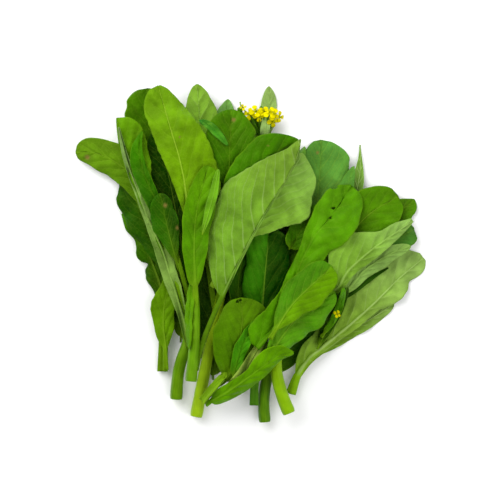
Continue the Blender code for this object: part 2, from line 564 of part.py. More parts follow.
def lay_out():
    """Lays every piece on those below it, and gives each node its meshes, in order."""
    bed = Bed()
    stems, nodes = {}, {}
    for piece in PIECES:
        node = piece["node"]
        meshes = nodes.setdefault(node, [])
        if piece["kind"] == "stem":
            grid, half, share, radius = stem_grid(piece)
            _, length = smooth_curve(piece["path"], [0, 1])
            grid = settle(bed, node, grid, half, share * length, 75, stiff=True)
            stems[node] = grid[:, 1]
            meshes.append(stem_mesh(piece["name"], grid[:, 1], radius))
        elif piece["kind"] == "leaf":
            piece, root = rooted(piece, stems[node]) if node in stems else (piece, None)
            grid, half, share, length = leaf_grid(piece)
            grid = settle(bed, node, grid, half, share * length, piece["rest"], root)
            meshes.append(blade_mesh(piece["name"], grid, half))
        else:
            meshes.extend(flower_head(bed, piece))
    return nodes


def flower_head(bed, piece):
    """The florets of a head on their stalks, from a small knob that they all grow out of."""
    wide, deep, high = piece["size"]
    x, y = piece["at"]
    reach = 0.9 * piece["petal"]
    u, v = np.meshgrid(np.linspace(-1, 1, 9), np.linspace(-0.6, 1, 5), indexing="ij")
    pad = np.stack([x + u * (wide + reach), y + v * (deep + reach), np.zeros_like(u)], axis=-1)
    others, _ = bed.under(piece["node"])
    base = others[cells_of(spread(pad[..., 0])), cells_of(spread(pad[..., 1]))].max() + GAP + reach
    pad[..., 2] = base + high / 2
    bed.add(piece["node"], pad, np.full(u.shape, high / 2 + reach))
    knob = bmesh.new()
    size = Matrix.Diagonal((0.3 * wide, 0.4 * deep, 0.5 * high, 1))
    centre = Vector((x - MIDDLE[0], y - MIDDLE[1], base))
    place = Matrix.Translation(centre * MM) @ size
    bmesh.ops.create_uvsphere(knob, u_segments=8, v_segments=6, radius=MM, matrix=place)
    mesh = bpy.data.meshes.new(piece["name"])
    knob.to_mesh(mesh)
    knob.free()
    meshes = [mesh]
    for k, way in enumerate(floret_places(piece["florets"])):
        root = centre + Vector((0.14 * wide * way.x, 0.2 * deep * way.y, 0.2 * high * way.z))
        tip = centre + Vector((wide * way.x, deep * way.y, high * way.z))
        meshes.append(floret_mesh(f"{piece['name']}_{k}", root, tip, piece["petal"]))
    return meshes


def main():
    for obj in list(bpy.data.objects):
        bpy.data.objects.remove(obj)
    bunch = bpy.data.collections.new("choy_sum_bunch")
    bpy.context.scene.collection.children.link(bunch)
    finishes = {
        "leaf": material("leaf", LEAF_GREEN, 0.45),
        "shoot": material("shoot", STEM_GREEN, 0.4),
        "flower": material("flower", PETAL_YELLOW, 0.5),
    }
    for node, meshes in lay_out().items():
        kind = next((k for k in ("shoot", "flower") if node.startswith(k)), "leaf")
        joined(node, meshes, bunch, finishes[kind])


main()
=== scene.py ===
# %% [markdown]
# # A bunch of choy sum
# Choy sum is sold as a loose bunch: thick juicy stems cut at the bottom, spoon-shaped leaves with a pale
# rib, and a small head of yellow flowers. Here the bunch lies on a pale table and is seen from straight
# above.
#
# The solids of the CAD model say where every leaf lies. They are coarse, so this notebook draws each leaf
# and stem again as a fine surface, on the same lines, and gives it veins, gloss and colour.

# %% The frame
import math

import bpy
import numpy as np
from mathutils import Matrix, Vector


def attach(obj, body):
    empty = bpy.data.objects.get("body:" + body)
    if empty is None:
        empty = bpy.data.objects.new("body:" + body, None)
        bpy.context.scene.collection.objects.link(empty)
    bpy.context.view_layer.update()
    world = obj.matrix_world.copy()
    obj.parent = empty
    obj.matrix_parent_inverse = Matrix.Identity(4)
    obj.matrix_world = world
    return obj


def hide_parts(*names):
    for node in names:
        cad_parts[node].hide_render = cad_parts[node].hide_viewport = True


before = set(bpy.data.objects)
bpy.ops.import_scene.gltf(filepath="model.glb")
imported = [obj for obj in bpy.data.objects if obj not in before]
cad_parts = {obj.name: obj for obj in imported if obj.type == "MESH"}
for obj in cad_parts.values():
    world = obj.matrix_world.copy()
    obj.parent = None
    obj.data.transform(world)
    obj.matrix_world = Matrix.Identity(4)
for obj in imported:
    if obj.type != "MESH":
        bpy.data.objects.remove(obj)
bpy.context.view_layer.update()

# %% [markdown]
# ## One table for the whole bunch
# A bunch looks random, but each leaf only needs a few facts: the line of its rib on the table, where its
# bare stalk ends, and how wide, folded and curled its two halves are. The table repeats the CAD model's
# own, so a fine leaf lies exactly where its coarse solid does. It is in millimetres, from the table
# upwards.

# %% What a leaf, a half of its blade and a stem are made of
MM = 0.001
MIDDLE = np.array([-0.6, -0.2])  # the middle of the bunch in the table's coordinates


def side(width, peak=0.55, base=1.1, tip=0.6, fold=0.0, curl=0.0, flap=0.0, knots=()):
    """Half a blade: its width, where it is widest, how sharply it narrows to base and tip, its slope at the
    rib and further bend in degrees, and the share of it that is folded back. Knots give an uneven
    outline."""
    return {
        "width": width, "peak": peak, "base": base, "tip": tip, "fold": fold, "curl": curl, "flap": flap,
        "knots": knots,
    }


def both(*shape, **more):
    """Two equal halves."""
    half = side(*shape, **more)
    return half, half


def leaf(name, node, rib, blade, left, right, stalk=2.8, arch=6.0, wave=(2.0, 2.5, 0.0), lobe=0.05,
         rest=60):
    """A leaf: its rib, the share of it that is bare stalk, its halves, the stalk's radius, the rise of the
    rib, the ripples of its margin, and the share of it, in hundredths, that touches what lies below."""
    return {
        "kind": "leaf", "name": name, "node": node, "rib": rib, "blade": blade, "left": left, "right": right,
        "stalk": stalk, "arch": arch, "wave": wave, "lobe": lobe, "rest": rest,
    }


def stem(name, node, path, radii):
    """A thick stem from its cut end to its top, with its radius at both."""
    return {"kind": "stem", "name": name, "node": node, "path": path, "radii": radii}


def head(name, node, at, size, petal):
    """A flower head: where it is, half its spread each way, and a petal's length."""
    return {"kind": "head", "name": name, "node": node, "at": at, "size": size, "petal": petal}


# %% The leaves at the bottom
# In the whole table each piece lies on those before it.
PIECES = [
    leaf("hidden_left", "leaf_hidden_left", [(-66, -88), (-74, -30), (-92, 40), (-104, 92)], 0.35,
         side(24, fold=4), side(26, fold=4), arch=2, wave=(1.5, 2.5, 0.4), rest=70),
    leaf("hidden_middle", "leaf_hidden_middle", [(-26, -96), (-18, -30), (-12, 40), (-8, 104)], 0.3,
         side(30), side(32), stalk=1.5, arch=0, wave=(0.3, 2.5, 1.0), rest=70),
    leaf("hidden_right", "leaf_hidden_right", [(24, -96), (62, -52), (104, -14), (146, 14)], 0.3,
         side(26, fold=3), side(16, fold=3), arch=2, wave=(1.5, 2.5, 2.0), rest=70),
    leaf("right_lowest", "leaf_right_lowest", [(45, -128), (60, -109), (80, -94), (105, -76), (128, -62),
         (144, -51)], 0.3, side(13, 0.6, 1.0, 0.5, fold=6), side(7, 0.6, 0.8, 0.5, fold=-6), arch=3,
         stalk=2.0),
    leaf("right_outer", "leaf_right_outer", [(40, -141), (47, -122), (59, -105), (74, -93), (96, -75),
         (121, -53), (150, -25), (174, -5)], 0.26, side(25, 0.55, 0.9, 0.4, fold=14, curl=-24),
         side(15, 0.82, 1.3, 0.35, fold=-10, curl=16), stalk=4.0, arch=7, wave=(3.0, 3.0, 0.5), lobe=0.1),
]
print("pieces so far:", len(PIECES))

# %% The shoot behind, at the right
PIECES += [
    stem("back_right_stem", "shoot_back_right", [(14, -169), (13, -147), (18, -120), (34, -87), (58, -45),
         (80, -8)], (6.2, 3.4)),
    leaf("back_sliver", "shoot_back_right", [(78, -16), (99, 40), (109, 76), (110, 109)], 0.3,
         side(9, 0.45, 1.0, 1.9, fold=30), side(5, 0.5, 1.0, 1.9, fold=20), stalk=1.6, arch=10),
    leaf("back_top", "shoot_back_right", [(60, -36), (64, 10), (67, 55), (70, 88), (71, 114)], 0.36,
         side(21, 0.6, 1.0, 0.4, fold=8), side(31, 0.55, 1.0, 0.4, fold=6, curl=-14), arch=9,
         wave=(2.5, 2.5, 1.4), lobe=0.07),
    leaf("back_inner", "shoot_back_right", [(36, -80), (44, -20), (52, 20), (58, 44)], 0.35,
         side(15, 0.6, 1.0, 0.5, fold=10), side(14, 0.6, 1.0, 0.5, fold=10), arch=5),
    leaf("back_right_tooth", "shoot_back_right", [(80, -6), (118, 18), (145, 38), (165, 54)], 0.25,
         side(15, 0.6, 1.0, 0.9, fold=8), side(17, 0.65, 1.0, 0.6, fold=8), arch=9, lobe=0.14,
         wave=(2.0, 3.5, 0.0)),
    leaf("back_right_blunt", "shoot_back_right", [(72, -26), (112, -6), (140, 12), (164, 24)], 0.25,
         *both(15, 0.75, 1.0, 0.25, fold=6), arch=8),
]
print("pieces so far:", len(PIECES))

# %% The shoot at the right
PIECES += [
    stem("right_stem", "shoot_right", [(38, -159), (29, -135), (25, -107), (36, -78), (56, -47),
         (76, -24)], (6.8, 4.0)),
    leaf("right_back", "shoot_right", [(52, -52), (75, -18), (95, 14), (120, 40), (148, 57)], 0.24,
         side(24, 0.62, 0.9, 0.35, fold=8), side(25, 0.66, 0.9, 0.3, fold=8, curl=10), arch=8,
         wave=(2.5, 2.5, 0.9)),
    leaf("right_band", "shoot_right", [(74, -30), (94, -37), (114, -17), (137, -2), (160, 7)], 0.18,
         side(9, 0.6, 0.8, 0.6, fold=12, curl=30), side(9, 0.6, 0.8, 0.6, fold=-25), stalk=2.2, arch=6,
         lobe=0.03),
    leaf("right_pale", "shoot_right", [(70, -40), (84, -36), (97, -17), (120, 3), (141, 18), (162, 32)],
         0.08, side(29, fold=12, curl=-10, knots=((0, 0.4), (0.16, 0.9), (0.34, 1), (0.55, 0.62),
         (0.7, 0.28), (1, 0.1))), side(9, 0.5, 0.8, 0.7, fold=-26), stalk=2.4, arch=6, lobe=0.03),
]
print("pieces so far:", len(PIECES))

# %% The shoot and the loose leaves at the left
PIECES += [
    leaf("left_under", "leaf_left_outer", [(-89, -119), (-88, -80), (-90, -40), (-101, -6), (-113, 23),
         (-128, 41)], 0.36, side(8, 0.5, 0.7, 0.9, fold=6), side(20, 0.6, 0.9, 0.9, fold=6), stalk=4.8,
         arch=3, lobe=0.16, wave=(2.0, 3.5, 0.6)),
    leaf("left_low", "leaf_left_low", [(-85, -117), (-86, -92), (-88, -69), (-86, -47), (-81, -30),
         (-77, -10)], 0.2, side(11, 0.45, 0.8, 0.7, fold=4, curl=16), side(11, 0.45, 0.8, 0.7, fold=10),
         stalk=2.4, arch=4, lobe=0.14, wave=(2.0, 2.2, 0.2)),
    stem("left_stem", "shoot_left", [(-75, -146), (-73, -122), (-68, -102), (-62, -82), (-61, -47),
         (-66, -7)], (6.6, 3.6)),
    leaf("left_back", "shoot_left", [(-65, -20), (-77, 30), (-92, 90), (-102, 135), (-103, 166)], 0.3,
         side(24, 0.74, 1.0, 0.32, fold=6), side(24, 0.7, 1.0, 0.4, fold=6), arch=6, lobe=0.06),
    leaf("left_inner", "shoot_left", [(-61, -50), (-68, 0), (-77, 50), (-86, 90), (-98, 122)], 0.3,
         side(21, 0.6, 1.0, 0.6, fold=8), side(26, 0.6, 1.0, 0.6, fold=14), arch=3, rest=75),
    leaf("left_dark", "shoot_left", [(-62, -64), (-80, -20), (-98, 16), (-114, 50), (-124, 88)], 0.24,
         side(18, 0.72, 0.9, 0.6, fold=-8, curl=-14), side(18, 0.6, 0.9, 0.7, fold=12), arch=5, lobe=0.1,
         wave=(2.5, 4.0, 0.3)),
    leaf("left_reaching", "shoot_left", [(-62, -44), (-90, 25), (-118, 75), (-133, 89), (-147, 97),
         (-161, 101), (-176, 101)], 0.42, side(16, 0.66, 1.0, 0.4, fold=-10),
         side(18, 0.66, 1.0, 0.4, fold=4), stalk=2.4, arch=8),
    leaf("left_folded", "shoot_left", [(-61, -80), (-67, -52), (-76, -22), (-89, 14), (-104, 48),
         (-116, 75), (-127, 105), (-134, 135)], 0.24, side(14, 0.45, 0.6, 0.5, fold=10, flap=0.8),
         side(25, 0.86, 1.3, 0.35, fold=8), stalk=3.0, arch=5, lobe=0.02, wave=(1.0, 2.5, 0.0)),
    leaf("left_spoon", "shoot_left", [(-62, -58), (-66, -30), (-76, 8), (-88, 38), (-100, 64), (-108, 84),
         (-111, 104), (-108, 121)], 0.3, side(10, 0.7, 0.9, 0.8, fold=6),
         side(12, 0.65, 0.9, 0.9, fold=24), stalk=2.2, arch=4, lobe=0.02),
    leaf("left_small", "shoot_left", [(-61, -36), (-70, -20), (-77, 5), (-84, 32), (-90, 59)], 0.32,
         side(13, 0.65, 0.9, 0.5, fold=14), side(11, 0.65, 0.9, 0.5, fold=14), stalk=1.9, arch=3),
]
print("pieces so far:", len(PIECES))

# %% The flowering shoot
PIECES += [
    stem("flowering_stem", "shoot_flowering", [(-55, -164), (-46, -117), (-39, -82), (-29, -37),
         (-19, 13), (-8, 63), (0, 100), (4, 116)], (6.6, 2.6)),
    leaf("flowering_low", "shoot_flowering", [(-36, -64), (-44, 0), (-44, 55), (-30, 98)], 0.3,
         side(22, 0.6, 1.0, 0.6, fold=8), side(26, 0.6, 1.0, 0.6, fold=8), arch=3, rest=75),
    leaf("flowering_tip", "shoot_flowering", [(-12, 46), (-26, 80), (-28, 115), (-23, 155)], 0.3,
         *both(12, 0.55, 1.0, 0.7, fold=14), stalk=1.4, arch=5),
    leaf("flowering_pale", "shoot_flowering", [(-28, -34), (-46, 10), (-50, 60), (-50, 112), (-54, 169)],
         0.36, side(15, 0.66, 1.0, 0.5, fold=-10), side(21, 0.6, 1.0, 0.65, fold=-8), arch=7),
    leaf("flowering_bract", "shoot_flowering", [(0, 94), (13, 118), (18, 144), (18, 168)], 0.2,
         *both(8, 0.62, 1.0, 0.7, fold=12), stalk=1.2, arch=2, lobe=0.02,
         wave=(0.8, 1.5, 0.0)),
    head("flower_head", "flower_head", (6, 131), (24, 14, 9), 6.6),
    leaf("flowering_broad", "shoot_flowering", [(-26, -22), (-25, 40), (-22, 75), (-21, 105), (-19, 142)],
         0.4, side(26, 0.6, 1.0, 0.45, fold=18, curl=-24), side(26, 0.64, 1.0, 0.5, fold=6, curl=-10),
         arch=6),
    leaf("flowering_dark", "shoot_flowering", [(-34, -58), (-26, 0), (-12, 52), (10, 88), (47, 112)],
         0.34, side(23, 0.68, 1.0, 0.7, fold=-6), side(20, 0.6, 1.0, 0.6, fold=-12), arch=6),
]
print("pieces so far:", len(PIECES))

# %% The loose leaves in the middle
PIECES += [
    leaf("middle_thin", "leaf_middle_thin", [(-9, -138), (-10, -95), (-13, -40), (-8, 0), (0, 40)], 0.4,
         side(14, 0.6, 1.0, 0.6, fold=16), side(12, 0.6, 1.0, 0.6, fold=16), stalk=2.2, arch=3, rest=70),
    leaf("middle_dark", "leaf_middle_dark", [(3, -152), (4, -125), (9, -90), (11, -58), (14, -20),
         (18, 24)], 0.44, side(21, 0.62, 0.8, 0.3, fold=30, curl=-30), side(22, 0.62, 0.8, 0.3, fold=26,
         curl=-20), stalk=4.0, arch=3, rest=70),
    leaf("middle_pale", "leaf_middle_pale", [(-38, -34), (-16, 10), (6, 40), (27, 66), (42, 84),
         (51, 99)], 0.36, side(16, 0.5, 0.8, 0.6, fold=-6), side(43, fold=-6, curl=-14, knots=((0, 0.12),
         (0.27, 0.6), (0.57, 1), (0.82, 0.68), (0.93, 0.32), (1, 0.04))), arch=6),
    leaf("centre_pale", "leaf_centre_pale", [(-53, -122), (-44, -92), (-30, -48), (-2, 11), (18, 46),
         (34, 71), (45, 93), (49, 112)], 0.31, side(49, 0.46, 0.78, 0.86, fold=-8, curl=-12),
         side(8, 0.5, 1.0, 0.8, fold=-62), stalk=3.4, arch=9, wave=(1.6, 2.5, 0.6), lobe=0.02),
]
print("pieces so far:", len(PIECES))

# %% The shoot and the loose leaves in front
PIECES += [
    stem("front_left_stem", "shoot_front_left", [(-59, -126), (-56, -92), (-55, -60), (-57, -30)],
         (6.0, 4.2)),
    leaf("front_broad", "shoot_front_left", [(-57, -44), (-60, 0), (-64, 58), (-70, 92), (-80, 126),
         (-92, 166)], 0.32, side(20, 0.8, 1.2, 0.35, fold=16), side(35, 0.5, 1.0, 0.7, fold=-8, curl=-12),
         arch=8, lobe=0.03),
    leaf("front_spoon", "shoot_front_left", [(-55, -66), (-55, -37), (-56, 13), (-52, 48), (-42, 86)],
         0.22, side(12, 0.7, 0.4, 0.5, fold=16, curl=14), side(27, 0.8, 0.7, 0.45, fold=8, flap=0.38),
         stalk=3.2, arch=6, lobe=0.02, wave=(1.0, 2.0, 0.0)),
    leaf("front_round", "leaf_front_round", [(-48, -146), (-38, -134), (-23, -122), (-14, -95), (-9, -70),
         (-10, -44)], 0.26, side(25, 0.55, 0.8, 0.4, fold=6, curl=-16), side(27, 0.66, 0.9, 0.45, fold=4,
         curl=-10), stalk=2.2, arch=6, wave=(1.0, 1.5, 0.0), lobe=0.01),
    leaf("front_long", "leaf_front_long", [(-18, -120), (2, -98), (25, -71), (40, -45), (46, -19),
         (61, 13), (79, 35), (101, 67)], 0.1, side(20, fold=10, curl=10, knots=((0, 0.35), (0.13, 0.95),
         (0.3, 0.75), (0.5, 0.38), (0.63, 0.4), (0.82, 0.95), (0.94, 0.75), (1, 0.1))),
         side(26, 0.82, 3.6, 0.35, fold=2, curl=-10), stalk=3.2, arch=8, wave=(2.5, 3.0, 0.3), lobe=0.04),
    leaf("front_glossy", "leaf_front_glossy", [(4, -122), (24, -92), (42, -68), (60, -54), (83, -38)],
         0.2, side(14, 0.6, 0.7, 0.5, fold=8), side(19, 0.62, 0.7, 0.5, fold=4), arch=5,
         wave=(3.0, 3.5, 0.8)),
    leaf("front_right", "leaf_front_right", [(14, -92), (38, -54), (58, -33), (72, -20), (88, -8)], 0.2,
         side(18, 0.66, 0.8, 0.35, fold=4, curl=-12), side(19, 0.7, 0.8, 0.35, fold=2, curl=-12),
         stalk=2.4, arch=6),
    leaf("front_wrap", "leaf_front_wrap", [(-45, -150), (-25, -138), (-2, -121), (18, -107), (41, -98)],
         0.06, side(10, 0.6, 0.5, 0.35, fold=14), side(11, 0.4, 0.35, 0.5, fold=-16, curl=-20), stalk=2.6,
         arch=5, lobe=0.02),
]
print("pieces in the table:", len(PIECES))

# %% [markdown]
# ## Lines and cross-sections
# A leaf is a curve in plan, the rib, with a cross-section carried along it. The rib runs smoothly through
# its points as a Catmull-Rom curve. The width of a half blade rises as a quarter sine to its widest place
# and falls as a quarter cosine to the tip, with powers that make either end fuller or finer. Across the
# blade the slope changes, and the blade's place is the sum of that slope's cosines and sines, so it never
# stretches.

# %% Smooth curves
def smooth_curve(points, shares):
    """Points at the given shares of the length of a Catmull-Rom curve through the given points."""
    points = np.array(points, float)
    ends = np.vstack([2 * points[0] - points[1], points, 2 * points[-1] - points[-2]])
    t = np.linspace(0, 1, 25)[:-1, None]
    runs = []
    for a, b, c, d in zip(ends, ends[1:], ends[2:], ends[3:]):
        square = 2 * a - 5 * b + 4 * c - d
        cube = 3 * b - a - 3 * c + d
        runs.append(0.5 * (2 * b + (c - a) * t + square * t**2 + cube * t**3))
    dense = np.vstack([*runs, points[-1:]])
    length = np.concatenate([[0], np.cumsum(np.linalg.norm(np.diff(dense, axis=0), axis=1))])
    wanted = np.array(shares) * length[-1]
    return np.stack([np.interp(wanted, length, axis) for axis in dense.T], axis=1), length[-1]


# %% Outlines and cross-sections
SLOPE_STEPS = 41  # terms of the sum that draws a cross-section
FLAT_BASE = 0.1  # a half takes up its slope over this share of the blade
FOLD_BACK = 155.0  # the slope of a flap that is folded back, in degrees
BEND = 5.4  # the length of blade that goes round the fold of a flap
UNFOLDED = 0.3  # a flap opens out over this share of the blade at either end


def outline(t, half):
    """The width of a half blade at t: a quarter sine up to its widest place and a quarter cosine down."""
    if half["knots"]:
        curve, _ = smooth_curve(half["knots"], np.linspace(0, 1, 60))
        return np.interp(t, curve[:, 0], curve[:, 1])
    rise = np.sin(np.pi / 2 * np.clip(t / half["peak"], 0, 1)) ** half["base"]
    past = np.clip((t - half["peak"]) / (1 - half["peak"]), 0, 1)
    fall = np.clip(np.cos(np.pi / 2 * past), 0, 1) ** half["tip"]
    return np.where(t < half["peak"], rise, fall)


def between(table, columns):
    """Values at the given shares of a table's even columns, mixed in straight lines."""
    steps = table.shape[1] - 1
    low = np.minimum((columns * steps).astype(int), steps - 1)
    rest = columns * steps - low
    return table[:, low] * (1 - rest) + table[:, low + 1] * rest


def cross_section(half, columns, width, t):
    """How far out and how high each column of a half blade lies. The slope is fold + curl times the square
    of the way to the margin, and a flap turns over in a bend."""
    s = np.linspace(0, 1, SLOPE_STEPS)
    slope = (half["fold"] + half["curl"] * s**2) * np.minimum(t / FLAT_BASE, 1)[:, None]
    if half["flap"]:
        turned = np.clip((s - 1 + half["flap"]) * half["width"] / BEND, 0, 1)
        opened = np.clip(np.minimum(t, 1 - t) / UNFOLDED, 0, 1)[:, None]
        slope = slope + (FOLD_BACK - slope) * turned * opened
    slope = np.radians(slope)
    places = []
    for part in (np.cos(slope), np.sin(slope)):
        steps = (part[:, 1:] + part[:, :-1]) / 2 / (SLOPE_STEPS - 1)
        whole = np.pad(np.cumsum(steps, axis=1), ((0, 0), (1, 0)))
        places.append(between(whole, columns) * width[:, None])
    return places


# %% The middle surface of a leaf
BLADE = 0.8  # thickness of a blade in the solids
WING = 1.0  # the narrow wing along a stalk in the solids


def rib_radius(piece, share, t):
    """The stalk thins by a quarter up to the blade, and the rib from there to a thread at the tip."""
    stalk = piece["stalk"] * (1 - 0.25 * np.clip(share / piece["blade"], 0, 1))
    return np.where(t > 0, BLADE / 2 + (0.75 * piece["stalk"] - BLADE / 2) * (1 - t) ** 1.3, stalk)


def rib_of(piece, share):
    """The line of the rib, the ways to its left and up from it, its radius, and t, which is 0 where the
    blade starts and 1 at the tip. The rib rises as one arch of a sine."""
    plan, length = smooth_curve(piece["rib"], share)
    line = np.column_stack([plan, piece["arch"] * np.sin(np.pi * share)])
    ahead = np.gradient(line, axis=0)
    ahead /= np.linalg.norm(ahead, axis=1, keepdims=True)
    left = np.cross([0, 0, 1], ahead)
    left /= np.linalg.norm(left, axis=1, keepdims=True)
    t = np.clip((share - piece["blade"]) / (1 - piece["blade"]), 0, 1)
    return line, left, np.cross(ahead, left), rib_radius(piece, share, t), t, length


def half_blade(piece, half, way, share, columns, wing):
    """The middle surface of one half at the given columns, from the rib's edge outwards: the cross-section,
    with ripples that grow with the square of the way to the margin. Also its width at each station."""
    line, left, up, radius, t, _ = rib_of(piece, share)
    height, count, phase = piece["wave"]
    ripple = np.sin(2 * np.pi * count * t + phase + way)
    shape = outline(t, half)
    width = wing + half["width"] * shape * (1 + piece["lobe"] * ripple * np.sin(np.pi * t))
    out, high = cross_section(half, columns, width, t)
    high = high + height * columns**2 * (ripple * shape)[:, None]
    reach = 0.8 * radius[:, None] + out
    points = line[:, None] + way * left[:, None] * reach[..., None] + up[:, None] * high[..., None]
    return points, width


lengths = {p["name"]: smooth_curve(p["rib"], [0, 1])[1] for p in PIECES if p["kind"] == "leaf"}
print("leaves:", len(lengths), "the longest rib, in mm:", round(max(lengths.values())))

# %% [markdown]
# ## Leaves that come to rest on each other
# Nothing in the bunch floats, and nothing may cut through what lies below. So the pieces are laid down one
# by one on a height map of those before. A leaf drops until a good share of it touches. Then every point
# that would still be inside something is lifted clear, and its neighbours with it, so that the leaf stays
# smooth. This first settling uses the coarse lattice of the solids and gives the same heights as they
# have.

# %% The coarse lattice of a leaf
FLAT_COLUMNS = (0.5, 1.0)
STALK_STEP, BLADE_STEP, STEM_STEP = 26.0, 15.0, 14.0


def columns_of(half):
    """Shares of the half's width at which the lattice has columns: two, or more to go round a flap's
    bend."""
    if not half["flap"]:
        return np.array(FLAT_COLUMNS)
    start, bend = 1 - half["flap"], BEND / half["width"]
    first = (0.55 * start,) if start > 0.3 else ()
    return np.array([*first, start, start + 0.5 * bend, start + bend, 1.0])


def stations_of(piece):
    """Shares of the rib at which the lattice has rows: few on the stalk, closer on the blade."""
    _, length = smooth_curve(piece["rib"], [0, 1])
    bare = piece["blade"] * length
    stalk = np.linspace(0, piece["blade"], max(3, round(bare / STALK_STEP) + 1))
    blade = np.linspace(piece["blade"], 1, int(np.clip(round((length - bare) / BLADE_STEP), 5, 10)) + 1)
    return np.concatenate([stalk, blade[1:]])


def leaf_lattice(piece):
    """The coarse middle surface, row by row from root to tip, left margin to right, and half its
    thickness."""
    share = stations_of(piece)
    line, left, _, radius, _, length = rib_of(piece, share)
    edge = BLADE / 2 + 0.5 * (radius - BLADE / 2)
    points, sizes = [line[:, None]], [radius[:, None]]
    for half, way in ((piece["left"], 1), (piece["right"], -1)):
        columns = columns_of(half)
        blade, _ = half_blade(piece, half, way, share, columns, WING)
        rim = line + way * left * 0.8 * radius[:, None]
        part = np.concatenate([rim[:, None], blade], axis=1)
        thick = np.column_stack([edge, np.tile(np.where(columns < 1, BLADE / 2, 0.0), (len(share), 1))])
        if way > 0:
            points.insert(0, part[:, ::-1])
            sizes.insert(0, thick[:, ::-1])
        else:
            points.append(part)
            sizes.append(thick)
    return np.concatenate(points, axis=1), np.concatenate(sizes, axis=1), share, length


# %% The coarse lattice of a stem
def stem_lattice(piece):
    """A stem's middle line with its two sides, and half its thickness there."""
    _, length = smooth_curve(piece["path"], [0, 1])
    share = np.linspace(0, 1, round(length / STEM_STEP) + 1)
    plan, _ = smooth_curve(piece["path"], share)
    radius = np.interp(share, [0, 1], piece["radii"])
    line = np.column_stack([plan, radius])
    left = np.cross([0, 0, 1], np.gradient(line, axis=0))
    left /= np.linalg.norm(left, axis=1, keepdims=True)
    grid = np.stack([line + left * radius[:, None], line, line - left * radius[:, None]], axis=1)
    return grid, np.stack([0.4 * radius, radius, 0.4 * radius], axis=1), share, length


# %% A height map of what already lies there
REACH = 210.0  # a height map runs from -REACH to REACH


def spread(values, samples):
    """Values all over each cell of a grid, mixed in straight lines between its corners."""
    a = np.linspace(0, 1, samples)[:, None]
    b = np.linspace(0, 1, samples)[None, :]
    corners = (values[:-1, :-1], values[1:, :-1], values[:-1, 1:], values[1:, 1:])
    weights = ((1 - a) * (1 - b), a * (1 - b), (1 - a) * b, a * b)
    return sum(c[:, :, None, None] * w for c, w in zip(corners, weights))


def widened(heights):
    """Each square takes the height of its highest neighbour."""
    padded = np.pad(heights, 1, mode="edge")
    n, m = heights.shape
    return np.max([padded[i : i + n, j : j + m] for i in range(3) for j in range(3)], axis=0)


class Bed:
    """For each node, the height of its top over every square of the table."""

    def __init__(self, cell, gap, samples):
        self.cell, self.gap, self.samples = cell, gap, samples
        self.side = round(2 * REACH / cell) + 1
        self.tops = {}

    def squares(self, points):
        """The number of the square in which each place lies, along one axis."""
        return np.clip(np.round((points + REACH) / self.cell).astype(int), 0, self.side - 1)

    def under(self, node):
        """Heights of all other nodes, and of the node itself."""
        bare = np.full((self.side, self.side), -self.gap)
        others = np.max([bare, *[top for name, top in self.tops.items() if name != node]], axis=0)
        return widened(others), widened(self.tops.get(node, bare))

    def add(self, node, grid, half):
        """Raises a node's top to a piece, which is given by its middle surface and half its thickness."""
        top = self.tops.setdefault(node, np.full((self.side, self.side), -self.gap))
        x, y, z, h = (spread(v, self.samples) for v in (*np.moveaxis(grid, 2, 0), half))
        np.maximum.at(top, (self.squares(x), self.squares(y)), z + h)

    def need(self, node, grid, half, along, free):
        """How far each cell of a grid would have to rise to be clear, at each of its samples."""
        others, own = self.under(node)
        x, y, z, h = (spread(v, self.samples) for v in (*np.moveaxis(grid, 2, 0), half))
        way = spread(np.repeat(along[:, None], grid.shape[1], axis=1), self.samples)
        place = (self.squares(x), self.squares(y))
        floor = np.where(way < free, others[place], np.maximum(others[place], own[place]))
        return floor + self.gap + h - z


def at_corners(cells):
    """For each point of a grid, the largest value of the cells that meet there."""
    n, m = cells.shape
    values = np.zeros((n + 1, m + 1))
    for i in (0, 1):
        for j in (0, 1):
            part = values[i : i + n, j : j + m]
            np.maximum(part, cells, out=part)
    return values


# %% How a lattice gives way and drops
FREE = 34.0  # a leaf ignores its own shoot over this length from its root
ROOT_LIFT = 1.5  # a leaf's root rises no more than this above the middle of its stem
STIFF = 1.0  # a leaf doesn't bend across its rib where the rib is thicker than twice this
LEAF_SLOPE, STEM_SLOPE = (0.3, 0.45), (0.12, 0)  # how steeply one lift gives way to the next
DROP_OVER = 0.4  # a rooted leaf takes up its whole drop over this share of its length
FIRM = 0.6  # how far a leaf drops is read where it takes up at least this share of the drop


def eased(lift, grid, half, slopes):
    """Raises the neighbours of raised points so that no lift is steeper than the slopes, along and across.
    Across a stalk or a thick rib all points rise alike."""
    lift = lift.copy()
    bends = np.maximum(half[:, 1:], half[:, :-1]) < STIFF
    for _ in range(3):
        for axis, slope in enumerate(slopes):
            rows = lift if axis == 0 else lift.T
            steps = slope * np.linalg.norm(np.diff(grid[..., :2], axis=axis), axis=-1)
            steps = steps if axis == 0 else (steps * bends).T
            for k in range(1, len(rows)):
                np.maximum(rows[k], rows[k - 1] - steps[k - 1], out=rows[k])
            for k in range(len(rows) - 1, 0, -1):
                np.maximum(rows[k - 1], rows[k] - steps[k - 1], out=rows[k - 1])
    return lift


